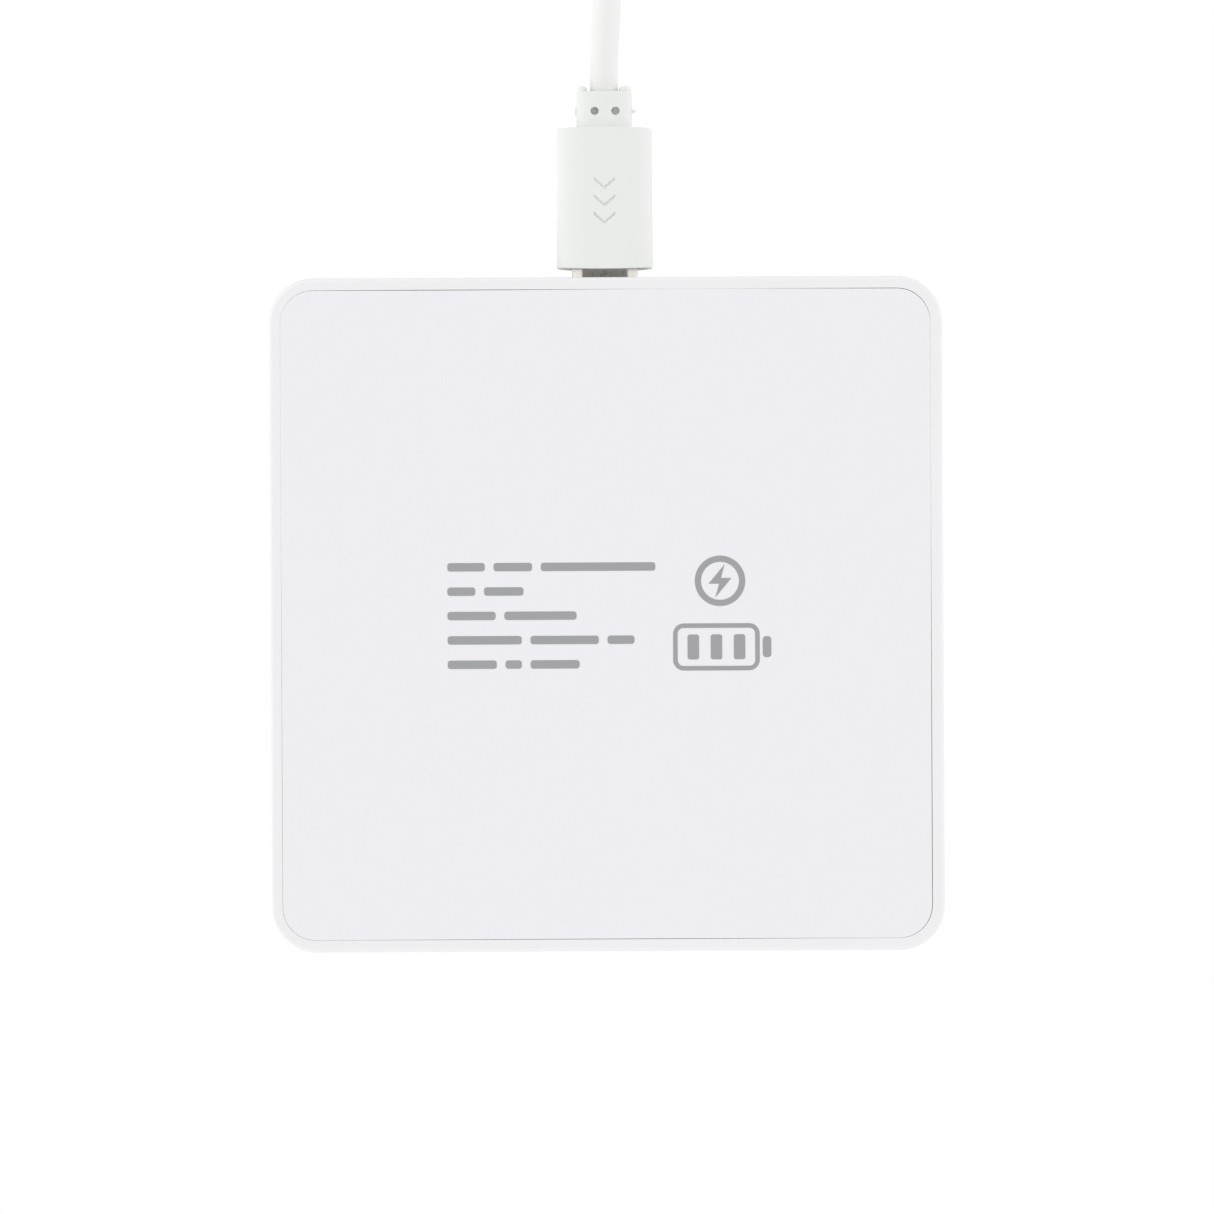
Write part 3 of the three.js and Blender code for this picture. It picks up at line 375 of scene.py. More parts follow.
PLUG_STEEL = stamped_metal("plug_steel", linear(226, 224, 217), 0.32, "y", dent=0.03)
LARGE_STEEL = stamped_metal("large_steel", linear(214, 212, 206), 0.22, "y")
SCREW_STEEL = stamped_metal("screw_steel", linear(196, 196, 192), 0.3, "z")
SOLDER = stamped_metal("solder", linear(205, 206, 208), 0.28, "z", dent=0.01)
GOLD = stamped_metal("gold_contact", linear(232, 196, 120), 0.22, "y")
COPPER = copper_wire()
BOARD = solder_mask()
FERRITE = sintered("ferrite", linear(62, 62, 64), linear(84, 84, 88), 0.35)
CERAMIC_X, CERAMIC_Y = (
    tinned_ends(f"ceramic_along_{axis}", linear(165, 132, 98), linear(188, 156, 120), axis, 0.14)
    for axis in "xy"
)
RESISTOR = tinned_ends("resistor", linear(34, 34, 36), linear(46, 46, 50), "x", 0.16)
LEADED_CHIP = tinned_ends("leaded_chip", linear(38, 38, 40), linear(46, 46, 48), "x", 0.157)
TAPE = moulded("adhesive_tape", linear(222, 210, 176), 0.6, 0.5, 0.01)
LED_EPOXY = tinned_ends("led_epoxy", linear(246, 240, 214), linear(240, 228, 190), "x", 0.2)
WIRE_RED = moulded("red_insulation", linear(186, 40, 32), 0.45, 0.4, 0.004)
WIRE_BLACK = moulded("black_insulation", linear(28, 28, 30), 0.45, 0.4, 0.004)


# -------------------- mesh building


def weld(piece):
    """Merges points less than a tenth of a micrometre apart."""
    piece.modifiers.new("weld", "WELD").merge_threshold = 1e-7


def smooth(piece, angle=32):
    """Smooth shading with sharp edges kept, and flat faces kept flat."""
    weld(piece)
    piece.data.shade_smooth()
    piece.data.set_sharp_from_angle(angle=math.radians(angle))
    piece.modifiers.new("weighted_normals", "WEIGHTED_NORMAL").keep_sharp = True


def linked(name, data):
    """A new object in the scene, from its mesh, light or camera."""
    made = bpy.data.objects.new(name, data)
    bpy.context.scene.collection.objects.link(made)
    return made


def closed_piece(name, points, faces):
    """A mesh from points in millimetres, with its faces turned outwards."""
    mesh = bpy.data.meshes.new(name)
    mesh.from_pydata([Vector(p) * MM for p in points], [], faces)
    work = bmesh.new()
    work.from_mesh(mesh)
    bmesh.ops.recalc_face_normals(work, faces=work.faces)
    work.to_mesh(mesh)
    work.free()
    return linked(name, mesh)


def loft(name, rings, capped=True):
    """A closed body through rings of equally many points. Its ends are capped, or joined to each
    other."""
    count = len(rings[0])
    points = [p for ring in rings for p in ring]
    last = len(rings) - 1 if capped else len(rings)
    faces = []
    for i in range(last):
        a = i * count
        b = (i + 1) % len(rings) * count
        for j in range(count):
            k = (j + 1) % count
            faces.append((a + j, a + k, b + k, b + j))
    if capped:
        faces.append(tuple(range(count)))
        faces.append(tuple(range(last * count, (last + 1) * count)))
    return closed_piece(name, points, faces)


def combine(name, pieces):
    """One object out of several that don't touch."""
    work = bmesh.new()
    for piece in pieces:
        work.from_mesh(piece.data)
        bpy.data.objects.remove(piece)
    mesh = bpy.data.meshes.new(name)
    work.to_mesh(mesh)
    work.free()
    return linked(name, mesh)


def bake(piece):
    """Applies all modifiers of a piece."""
    graph = bpy.context.evaluated_depsgraph_get()
    piece.data = bpy.data.meshes.new_from_object(piece.evaluated_get(graph))
    piece.modifiers.clear()
    return piece


def boolean(piece, operation, tools):
    for tool in tools:
        modifier = piece.modifiers.new(tool.name, "BOOLEAN")
        modifier.operation = operation
        modifier.solver = "EXACT"
        modifier.object = tool
    bake(piece)
    for tool in tools:
        bpy.data.objects.remove(tool)


def join(piece, *tools):
    """Adds each tool to a piece, and removes the tools."""
    boolean(piece, "UNION", tools)


def cut(piece, *tools):
    """Takes each tool out of a piece, and removes the tools."""
    boolean(piece, "DIFFERENCE", tools)


def place(piece, material, body, slot, *stands_for):
    """Gives a piece its material, its body and the CAD nodes that it stands for."""
    piece.data.materials.clear()
    piece.data.materials.append(material)
    if stands_for:
        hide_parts(*stands_for)
    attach(piece, body)


# -------------------- outlines


def arc(centre, radius, start, end, steps):
    """Points of a circle in two dimensions, from start to end in degrees."""
    angles = [math.radians(start + (end - start) * i / steps) for i in range(steps + 1)]
    return [(centre[0] + radius * math.cos(a), centre[1] + radius * math.sin(a)) for a in angles]


def circle(radius, centre=(0, 0), sides=72):
    return arc(centre, radius, 0, 360 - 360 / sides, sides - 1)


def rounding(radius, steps):
    """A quarter round between two faces at right angles, as its points' distances to the second
    face and to the first."""
    angles = [math.pi / 2 * i / steps for i in range(steps + 1)]
    return [(radius * (1 - math.cos(a)), radius * (1 - math.sin(a))) for a in angles]


def rounded_rectangle(width, height, radius, steps=10):
    x, y = width / 2 - radius, height / 2 - radius
    corners = [(x, y, 0), (-x, y, 90), (-x, -y, 180), (x, -y, 270)]
    return [p for cx, cy, turn in corners for p in arc((cx, cy), radius, turn, turn + 90, steps)]


def rounded_polygon(corners, radius, steps=4):
    """A convex polygon, given counterclockwise, with every corner rounded off."""
    outline = []
    for i, corner in enumerate(corners):
        here = Vector(corner)
        before = (Vector(corners[i - 1]) - here).normalized()
        after = (Vector(corners[(i + 1) % len(corners)]) - here).normalized()
        half = before.angle(after) / 2
        centre = here + (before + after).normalized() * (radius / math.sin(half))
        spoke = here + before * (radius / math.tan(half)) - centre
        for step in range(steps + 1):
            angle = (math.pi - 2 * half) * step / steps
            x = spoke.x * math.cos(angle) - spoke.y * math.sin(angle)
            y = spoke.x * math.sin(angle) + spoke.y * math.cos(angle)
            outline.append((centre.x + x, centre.y + y))
    return outline


def flat(outline, z):
    return [Vector((x, y, z)) for x, y in outline]


def upright(outline, y, centre=(0, 0)):
    """An outline in x and z, at a given y."""
    return [Vector((centre[0] + x, y, centre[1] + z)) for x, z in outline]


def prism(name, outline, bottom, top):
    return loft(name, [flat(outline, bottom), flat(outline, top)])


def hoop(name, outer, inner, bottom, top):
    """A prism with a hole, from two outlines of equally many points."""
    rings = [flat(outer, bottom), flat(outer, top), flat(inner, top), flat(inner, bottom)]
    return loft(name, rings, capped=False)


def block(name, low, high):
    outline = [(low[0], low[1]), (high[0], low[1]), (high[0], high[1]), (low[0], high[1])]
    return prism(name, outline, low[2], high[2])


def rod(name, radius, bottom, top, x=0.0, y=0.0, sides=40):
    """A round bar along z."""
    return prism(name, circle(radius, (x, y), sides), bottom, top)


def bar(name, outline, start, end, centre):
    """A straight bar along y, from its outline in x and z."""
    return loft(name, [upright(outline, start, centre), upright(outline, end, centre)])


def tunnel(name, radius, start, end, centre):
    """A round bar along y."""
    return bar(name, circle(radius, sides=48), start, end, centre)


# -------------------- cover and base plate


def four_sides(make):
    """Eight copies of a piece made at the +X side: two on each of the pad's sides."""
    made = []
    for side in range(4):
        for along in (-HOOK_OFFSET, HOOK_OFFSET):
            piece = make(along)
            piece.data.transform(Matrix.Rotation(side * math.pi / 2, 4, "Z"))
            made.append(piece)
    return made


def screw_centres():
    return [centre_mm(f"board_screw_{number}").xy for number in range(1, 5)]


def wall_cutter(name, width, height, radius, centre, side, flare):
    """Cuts an opening through the wall at +Y or -Y, with its outer edge rounded by flare."""
    rings = []
    outside = side * WALL_Y
    for depth, grow in [(-CUT, flare * 1.5), *rounding(flare, 6), (WALL + CUT, 0)]:
        outline = rounded_rectangle(width + 2 * grow, height + 2 * grow, radius + grow)
        rings.append(upright(outline, outside - side * depth, centre))
    return loft(name, rings)


def cover():
    """The moulded shell, as rings from its top down over the outside, round the rim, up the pocket
    and inside to its roof."""
    ceiling = PAD_TOP - ROOF
    profile = [(UPPER_EDGE + 0.6, PAD_TOP), (UPPER_EDGE + 0.1, PAD_TOP)]
    profile += [(inset, PAD_TOP - drop) for inset, drop in reversed(rounding(UPPER_EDGE, 12))]
    profile += [(0, PAD_TOP - UPPER_EDGE - 0.1), (0, LOWER_EDGE + 0.1), *rounding(LOWER_EDGE, 10)]
    profile += [(LOWER_EDGE + 0.05, 0), (RIM - LIP - 0.03, 0)]
    profile += [(RIM - inset, z) for z, inset in rounding(LIP, 5)]
    profile += [(RIM, POCKET_TOP), (WALL, POCKET_TOP), (WALL, ceiling)]
    rings = []
    for inset, z in profile:
        side = 2 * (PAD_HALF - inset)
        rings.append(flat(rounded_rectangle(side, side, PAD_CORNER - inset, 14), z))
    piece = loft("cover_moulding", rings)
    board_top = box_mm("circuit_board")[1].z
    boss_radius, pilot_radius = 2.3, 0.85
    centres = screw_centres()
    bosses = [rod("boss", boss_radius, board_top + GAP, ceiling + 0.4, x, y) for x, y in centres]
    pilots = [rod("pilot", pilot_radius, board_top - CUT, ceiling, x, y, 24) for x, y in centres]
    inner = PAD_HALF - WALL
    half = HOOK_WIDTH / 2 + PLAY

    def catch(along):
        low = (inner - 0.5, along - half, NUB_LOW - PLAY)
        return block("catch", low, (inner + NUB_REACH, along + half, NUB_HIGH + PLAY))

    pipe_z = centre_mm("status_light_pipe").z
    join(piece, combine("bosses", bosses))
    cut(piece, combine("pilots", pilots), combine("catches", four_sides(catch)),
        wall_cutter("port_opening", 8.4, 3.4, 0.8, (0, PORT_Z), side=1, flare=0.25),
        wall_cutter("pipe_opening", 2.6, 1.2, 0.5, (0, pipe_z), side=-1, flare=0.1))
    smooth(piece)
    place(piece, WHITE_COVER, "pad", "cover", "top_cover")


def divided(outline, longest, parts):
    """The same outline with every stretch above a given length cut into equal parts."""
    made = []
    for a, b in zip(outline, outline[1:] + outline[:1]):
        count = parts if math.dist(a, b) > longest else 1
        for i in range(count):
            made.append((a[0] + (b[0] - a[0]) * i / count, a[1] + (b[1] - a[1]) * i / count))
    return made


def fitted(x, y):
    """Where a point of the pocket's outline lies on the plate, whose edge stays some hundredths of a
    millimetre clear of the pocket: most at the sides away from the plug, and unevenly at the ends."""
    slack = 0.5 - 0.5 * math.sin(math.tau * y / 90)
    beside = 0.002 + 0.02 * slack if x > 0 else 0.004 + 0.056 * slack
    behind = 0.03 + 0.028 * math.cos(math.tau * (x - 16) / 50)
    ahead = 0.032 + 0.018 * math.cos(math.tau * x / 70)
    return x * (1 - beside / POCKET_HALF), y * (1 - (behind if y > 0 else ahead) / POCKET_HALF)


def plate():
    """The flush plate in the underside, with its eight snap hooks."""
    rings = []
    for z, inset in [(0, LIP + 0.5), (0, LIP + 0.05), *rounding(LIP, 5), (PLATE_THICKNESS, 0)]:
        side = 2 * (POCKET_HALF - inset)
        outline = rounded_rectangle(side, side, PAD_CORNER - RIM - inset, 14)
        rings.append(flat([fitted(x, y) for x, y in divided(outline, 10, 30)], z))
    piece = loft("plate_moulding", rings)
    face = PAD_HALF - WALL - PLAY
    back = face - HOOK_THICKNESS
    tip = face + NUB_REACH
    foot = PLATE_THICKNESS - 0.2

    def hook(along):
        side = [(back, foot), (face, foot), (face, NUB_LOW), (tip, NUB_LOW), (tip, NUB_LOW + 0.15),
                (face, NUB_HIGH), (face - 0.3, HOOK_TOP), (back, HOOK_TOP)]
        ends = (along - HOOK_WIDTH / 2, along + HOOK_WIDTH / 2)
        return loft("hook", [[Vector((x, y, z)) for x, z in side] for y in ends])

    join(piece, combine("hooks", four_sides(hook)))
    smooth(piece)
    place(piece, WHITE_PLATE, "pad", "plate", "base_plate")


# -------------------- print on the underside

# The print is read from below, with the plug at the top, so its right is -X. Words and marks are
# replaced by plain bars, a bolt in a ring and a battery.
INK = 0.012
TEXT_LEFT = 16.5
TEXT_TOP = 4.93
LINE_PITCH = 2.53
BAR_HEIGHT = 0.88
WORD_GAP = 0.9
LINES = [(3.9, 4.0, 11.9), (2.9, 4.1), (5.0, 7.5), (7.7, 7.1, 2.8), (5.1, 1.7, 5.1)]


def mirrored(outline):
    return [(-x, y) for x, y in outline]


def ink_prism(outline):
    return prism("ink", mirrored(outline), -INK, 0.0)


def shifted(outline, x, y):
    return [(px + x, py + y) for px, py in outline]


def text_bars():
    bars = []
    for row, words in enumerate(LINES):
        left = -TEXT_LEFT
        middle = TEXT_TOP - row * LINE_PITCH
        for width in words:
            outline = rounded_rectangle(width, BAR_HEIGHT, 0.3, 5)
            bars.append(ink_prism(shifted(outline, left + width / 2, middle)))
            left += width + WORD_GAP
    return bars


def ink_hoop(outer, inner):
    return hoop("ink", mirrored(outer), mirrored(inner), -INK, 0.0)


def bolt_mark(x, y):
    outer, inner = (circle(radius, (x, y)) for radius in (2.62, 1.97))
    bolt = [(0.5, 1.75), (-1.2, -0.3), (-0.1, -0.3), (-0.5, -1.75), (1.2, 0.3), (0.1, 0.3)]
    return [ink_hoop(outer, inner), ink_prism(shifted(bolt, x, y))]


def battery_mark(x, y):
    width, height, line = 9.0, 4.9, 0.48
    outer = rounded_rectangle(width, height, 1.1, 6)
    inner = rounded_rectangle(width - 2 * line, height - 2 * line, 0.6, 6)
    nub = rounded_rectangle(0.9, 2.2, 0.35, 5)
    cell = rounded_rectangle(1.2, 2.6, 0.25, 5)
    marks = [ink_hoop(shifted(outer, x, y), shifted(inner, x, y))]
    marks.append(ink_prism(shifted(nub, x + width / 2 + 0.75, y)))
    marks += [ink_prism(shifted(cell, x + offset, y)) for offset in (-2.4, 0, 2.4)]
    return marks


def underside_print():
    pieces = {
        "printed_bars": text_bars(),
        "printed_bolt_mark": bolt_mark(11.8, 3.4),
        "printed_battery_mark": battery_mark(11.4, -3.45),
    }
    for name, marks in pieces.items():
        place(combine(name, marks), GREY_INK, "pad", "plate")


# -------------------- plug bodies


def superellipse(width, thickness, power, count=88):
    def bend(value):
        return math.copysign(abs(value) ** (2 / power), value)

    angles = [2 * math.pi * (i + 0.5) / count for i in range(count)]
    return [(width / 2 * bend(math.cos(a)), thickness / 2 * bend(math.sin(a))) for a in angles]


def moulded_body(name, size, start, end, centre, edge, power, bow=0.0, taper=0.0):
    """A body along y whose ends are rounded over by edge and bowed outwards by bow."""
    width, thickness = size
    front = rounding(edge, 6)
    rings = []

    def ring(y, inset, share=1.0, side=0):
        outline = superellipse(share * (width - 2 * inset), share * (thickness - 2 * inset), power)
        points = upright(outline, y, centre)
        for point in points:
            point.y += side * bow * (1 - ((point.x - centre[0]) / (width / 2)) ** 2)
        rings.append(points)

    for share in (0.3, 0.6, 0.85, 0.97):
        ring(start, edge, share, -1)
    for depth, inset in front:
        ring(start + depth, inset, 1.0, -1)
    settle = min(3 * edge, 0.2 * (end - start))
    ring(start + edge + settle, 0.0, 1.0, -0.4)
    ring(end - edge - settle, taper, 1.0, 0.4)
    for depth, inset in reversed(front):
        ring(end - depth, taper + inset, 1.0, 1)
    for share in (0.97, 0.85, 0.6, 0.3):
        ring(end, taper + edge, share, 1)
    return loft(name, rings)


def micro_outline(grow):
    """The plug shell's outline in x and z, chamfered on the side of the underside."""
    width = SHELL_HIGH.x - SHELL_LOW.x
    x = width / 2 + grow
    z = (SHELL_HIGH.z - SHELL_LOW.z) / 2 + grow
    chamfer = SHELL_CHAMFER + grow * (2 - math.sqrt(2))
    corners = [(x, z), (-x, z), (-x, chamfer - z), (chamfer - x, -z), (x - chamfer, -z)]
    corners.append((x, chamfer - z))
    return rounded_polygon(corners, 0.2 + 0.5 * (grow + SHELL_WALL))


def chevrons(x, tip, heading, pitch, bottom, top):
    """Three nested arrowheads that point along y in the given heading, 1 or -1, as one cutter."""
    arm, rise, line = 1.1, 0.95, 0.32
    made = []
    arrow = [(0, 0), (arm, rise), (arm, rise + line), (0, line), (-arm, rise + line), (-arm, rise)]
    for i in range(3):
        outline = [(x + across, tip - heading * (i * pitch + back)) for across, back in arrow]
        made.append(prism("chevron", outline, bottom, top))
    return combine("chevrons", made)


def strain_relief(piece, back, end):
    """Adds the stub behind the micro plug's body, with two lips at its end, a flat and a pointed nub
    where the mould parts, and two sunk pin marks."""
    centre = (0, PORT_Z)
    size = (RELIEF_WIDTH + 0.04, RELIEF_THICK)
    join(piece, moulded_body("stub", size, back - 1.5, end, centre, edge=0.14, power=3.4, bow=0.02))
    half = RELIEF_WIDTH / 2
    lips = [moulded_body("lip", (width, 3.3), end - 0.6, end + 0.52, (x, PORT_Z), edge=0.22,
                         power=2.6, bow=0.05)
            for x, width in ((half - 0.6, 1.0), (-half + 0.68, 1.24))]
    join(piece, *lips)
    y = end - 2
    flat_nub = [(half - 0.5, y - 0.8), (half + 0.16, y - 0.35), (half + 0.16, y + 0.35),
                (half - 0.5, y + 0.8)]
    pointed_nub = [(-half + 0.5, y + 0.5), (-half - 0.44, y + 0.04), (-half + 0.5, y - 0.4)]
    nubs = [prism("nub", outline, PORT_Z - 0.7, PORT_Z + 0.5) for outline in (flat_nub, pointed_nub)]
    join(piece, combine("nubs", nubs))
    face = PORT_Z - RELIEF_THICK / 2
    pins = [rod("pin", 0.43, face - 2, face + 1.05, x - 0.1, y - 0.05, 28) for x in (-1.08, 1.08)]
    cut(piece, combine("pins", pins))


def micro_plug():
    """The micro plug's body, hollowed for its shell, insulator, wires and cable."""
    centre = (0, PORT_Z)
    back = PLUG_FRONT + PLUG_LENGTH
    end = back + RELIEF_LENGTH
    face = PORT_Z - PLUG_THICK / 2
    piece = moulded_body("micro_plug_moulding", (PLUG_WIDTH, PLUG_THICK), PLUG_FRONT + 0.1, back - 0.1,
                         centre, edge=0.14, power=3.1, bow=0.12, taper=0.08)
    strain_relief(piece, back, end)
    cut(piece, chevrons(0, PLUG_FRONT + 4.6, -1, 1.815, face - CUT, face + MARK_DEPTH))
    shell_end = SHELL_HIGH.y
    core_end = box_mm("micro_plug_insulator")[1].y
    start = CABLE_LOW.y
    rooms = [
        bar("shell_room", micro_outline(GAP), PLUG_FRONT - CUT, shell_end + GAP, centre),
        bar("insulator_room", micro_outline(-SHELL_WALL), shell_end - CUT, core_end + GAP, centre),
        block("wire_room", (-2.6, shell_end - CUT, PORT_Z - 0.85), (2.6, start - 0.1, PORT_Z + 0.85)),
        tunnel("cable_room", CABLE_RADIUS + 0.05, start - 0.2, end + 3, centre),
        tunnel("mouth", CABLE_RADIUS + 0.15, end - 0.3, end + 3, centre),
    ]
    cut(piece, *rooms)
    smooth(piece)
    place(piece, WHITE_PLUG, "cable", "plug", "micro_plug_body")


def open_tube(name, outlines, start, end, centre, lip=0.05):
    """A sheet-metal tube along y, from its outer and inner outline, with softened end edges."""
    outer, inner = outlines
    middle = [((a[0] + b[0]) / 2, (a[1] + b[1]) / 2) for a, b in zip(outer, inner)]

    rings = []
    for y, share in ((start, 0.6), (start + lip, 1.0), (end - lip, 1.0), (end, 0.6),
                     (end, -0.6), (end - lip, -1.0), (start + lip, -1.0), (start, -0.6)):
        outline = [(m[0] + (o[0] - m[0]) * share, m[1] + (o[1] - m[1]) * share)
                   for m, o in zip(middle, outer)]
        rings.append(upright(outline, y, centre))
    return loft(name, rings, capped=False)


def groove(path, z, width=0.26, depth=0.11):
    """A cutter for a V-shaped groove along a path, in a sheet whose outside is at z and faces down."""
    rings = []
    for i, point in enumerate(path):
        before = (point - path[max(i - 1, 0)]).normalized()
        after = (path[min(i + 1, len(path) - 1)] - point).normalized()
        heading = (before + after).normalized()
        side = Vector((-heading.y, heading.x)) * width / 2 / heading.dot(before if i else after)
        rings.append([(*(point + side), z - 0.01), (*(point - side), z - 0.01), (*point, z + depth)])
    return loft("groove", rings)


def micro_shell():
    """The micro plug's sheet-metal shell: two slots for the latches in its top, and a rolled seam
    with a small lock along its underside."""
    outlines = (micro_outline(0), micro_outline(-SHELL_WALL))
    piece = open_tube("micro_plug_sheet", outlines, SHELL_LOW.y, SHELL_HIGH.y, (0, PORT_Z))
    slots = []
    for side in ("left", "right"):
        low, high = box_mm(f"micro_plug_latch_{side}")
        slots.append(block("slot", (low.x - 0.08, low.y - 0.25, PORT_Z + 0.5),
                           (high.x + 0.08, low.y + 1.3, PORT_Z + 1.2)))
    cut(piece, combine("slots", slots))
    lock_y = SHELL_LOW.y + 5.7
    seam = [Vector(point) for point in (
        (0.45, SHELL_LOW.y - 1), (0.45, lock_y), (-0.35, lock_y + 0.3), (0.15, lock_y + 0.6),
        (0.15, SHELL_HIGH.y + 1))]
    cut(piece, groove(seam, SHELL_LOW.z))
    smooth(piece)
    place(piece, PLUG_STEEL, "cable", "steel", "micro_plug_shell")


def large_plug():
    """The USB-A plug's body, with grip grooves in its sides, hollowed like the micro plug's."""
    centre = (LARGE_X, LARGE_Z)
    relief_start = LARGE_LOW.y
    start = relief_start + 4.5
    width, thickness = LARGE_HIGH.x - LARGE_LOW.x, LARGE_HIGH.z - LARGE_LOW.z
    piece = moulded_body("large_plug_moulding", (width, thickness), start, LARGE_HIGH.y - 0.1, centre,
                         edge=0.55, power=6, bow=0.1)
    join(piece, moulded_body("stub", (6.4, 5.2), relief_start, start + 1.5, centre, edge=0.4, power=4))
    grips = []
    for i in range(5):
        for side in (-1, 1):
            x, y = LARGE_X + side * width / 2, start + 6 + 2 * i
            outline = shifted(rounded_rectangle(0.5, 0.8, 0.24, 5), x, y)
            grips.append(prism("grip", outline, LARGE_Z - 2, LARGE_Z + 2))
    cut(piece, combine("grips", grips))
    face = LARGE_HIGH.z
    cut(piece, chevrons(LARGE_X, start + 13, 1, 2.065, face - MARK_DEPTH, face + CUT))
    room = Vector((GAP, GAP, GAP))
    low, high = LARGE_SHELL_LOW - room, LARGE_SHELL_HIGH + room
    rooms = [
        block("shell_room", low, (high.x, LARGE_HIGH.y + CUT, high.z)),
        block("wire_room", (LARGE_X - 4.9, LARGE_CABLE_END - 0.1, LARGE_Z - 1.95),
              (LARGE_X + 4.9, LARGE_SHELL_LOW.y + 0.5, LARGE_Z + 1.95)),
        tunnel("cable_room", CABLE_RADIUS + 0.05, relief_start - CUT, LARGE_CABLE_END + 0.2, centre),
    ]
    cut(piece, *rooms)
    smooth(piece)
    place(piece, WHITE_PLUG, "cable", "plug", "large_plug_body")


def large_shell():
    """The USB-A plug's shell: a folded sheet with four windows and a seam along its underside."""
    low, high = LARGE_SHELL_LOW, LARGE_SHELL_HIGH
    width, height = high.x - low.x, high.z - low.z
    outer = rounded_rectangle(width, height, 0.5, 6)
    inner = rounded_rectangle(width - 0.6, height - 0.6, 0.2, 6)
    piece = open_tube("large_plug_sheet", (outer, inner), low.y, high.y, (LARGE_X, LARGE_Z), lip=0.08)
    middle = high.y - 6.2
    windows = []
    for x in (-2.9, 2.9):
        for side in (-1, 1):
            z = LARGE_Z + side * 2.1
            outline = shifted(rounded_rectangle(2.4, 2.2, 0.15, 3), LARGE_X + x, middle)
            windows.append(prism("window", outline, z - 0.5, z + 0.5))
    seam = block("seam", (LARGE_X - 0.05, low.y - CUT, low.z - 0.5),
                 (LARGE_X + 0.05, high.y + CUT, low.z + 0.12))
    cut(piece, combine("windows", windows + [seam]))
    smooth(piece)
    place(piece, LARGE_STEEL, "cable", "steel", "large_plug_shell")


# -------------------- wires and cable


def tube(name, path, radius, sides=20):
    """A round tube along a path of points, without twist."""
    rings = []
    side = (path[1] - path[0]).orthogonal()
    for i, point in enumerate(path):
        ahead = path[min(i + 1, len(path) - 1)] - path[max(i - 1, 0)]
        heading = ahead.normalized()
        side = (side - heading * side.dot(heading)).normalized()
        across = heading.cross(side)
        rings.append([point + side * u + across * v for u, v in circle(radius, sides=sides)])
    return loft(name, rings)


def ramp(value, start, end):
    """Rises smoothly from 0 at start to 1 at end."""
    share = min(max((value - start) / (end - start), 0), 1)
    return share * share * (3 - 2 * share)


def evened(path, step):
    """The same path with its points a given distance apart."""
    made = [path[0]]
    left = step
    for a, b in zip(path, path[1:]):
        length = (b - a).length
        while length > left:
            a = a.lerp(b, left / length)
            made.append(a)
            length -= left
            left = step
        left -= length
    return made + [path[-1]]


def softened(path, rounds):
    """The same path with every inner point moved to the mean of itself and its neighbours."""
    for _ in range(rounds):
        inner = [(a + b * 2 + c) / 4 for a, b, c in zip(path, path[1:], path[2:])]
        path = [path[0], *inner, path[-1]]
    return path


def steps_between(start, end):
    """Numbers from start to before end, up or down, half a millimetre apart."""
    count = math.ceil(abs(end - start) / 0.5)
    return [start + math.copysign(0.5, end - start) * i for i in range(count)]


def cable_path():
    """Out of the micro plug and down to the floor, round the ring on two layers, and by one bend up
    into the USB-A plug."""
    turn_gap, layer_gap, turns = 3.1, 3.05, 5.75
    start_x, bend = -1.0, 10.0
    low = CABLE_LOW.z + CABLE_RADIUS
    high = low + layer_gap
    outer = (CABLE_HIGH.x - CABLE_RADIUS - start_x) / 2
    ring_x = start_x + outer
    ring_y = CABLE_HIGH.y - CABLE_RADIUS - outer
    path = []
    for y in steps_between(CABLE_LOW.y, ring_y):
        sway = 0.1 * (ramp(y, 66, 78) - ramp(y, 56, 62))
        z = PORT_Z + (low - PORT_Z) * ramp(y, 56, 67)
        path.append(Vector((start_x * ramp(y, 57, 78) + sway, y, z)))
    per_turn = 240
    for i in range(int(turns * per_turn) + 1):
        turn = i / per_turn
        inwards = ramp(turn, 0.72, 0.9) + ramp(turn, 1.72, 1.9)
        outwards = ramp(turn, 3.2, 3.4) + ramp(turn, 4.2, 4.4)
        radius = outer - turn_gap * (inwards - outwards)
        angle = math.pi * (1 - 2 * turn)
        z = low + layer_gap * ramp(turn, 2.5, 2.68)
        path.append(Vector((ring_x + radius * math.cos(angle), ring_y + radius * math.sin(angle), z)))
    bend_x, bend_y = LARGE_X + bend, ring_y - outer + bend
    path += [Vector((x, ring_y - outer, high)) for x in steps_between(ring_x - 0.5, bend_x)]
    for i, (x, y) in enumerate(arc((bend_x, bend_y), bend, 270, 180, 45)):
        path.append(Vector((x, y, high + (LARGE_Z - high) * ramp(i, 0, 45))))
    path += [Vector((LARGE_X, y, LARGE_Z)) for y in steps_between(bend_y + 0.5, LARGE_CABLE_END)]
    path.append(Vector((LARGE_X, LARGE_CABLE_END, LARGE_Z)))
    return softened(evened(path, 0.7), 3)


def cable():
    piece = tube("cable_jacket", cable_path(), CABLE_RADIUS, 24)
    smooth(piece, 60)
    place(piece, WHITE_JACKET, "cable", "jacket", "cable")


def coil_leads():
    """Where the coil's inner and outer lead go down, in x and y."""
    return (9.2, 0.0), (box_mm("transmitter_coil")[1].x - COIL_WIRE, 0.6)


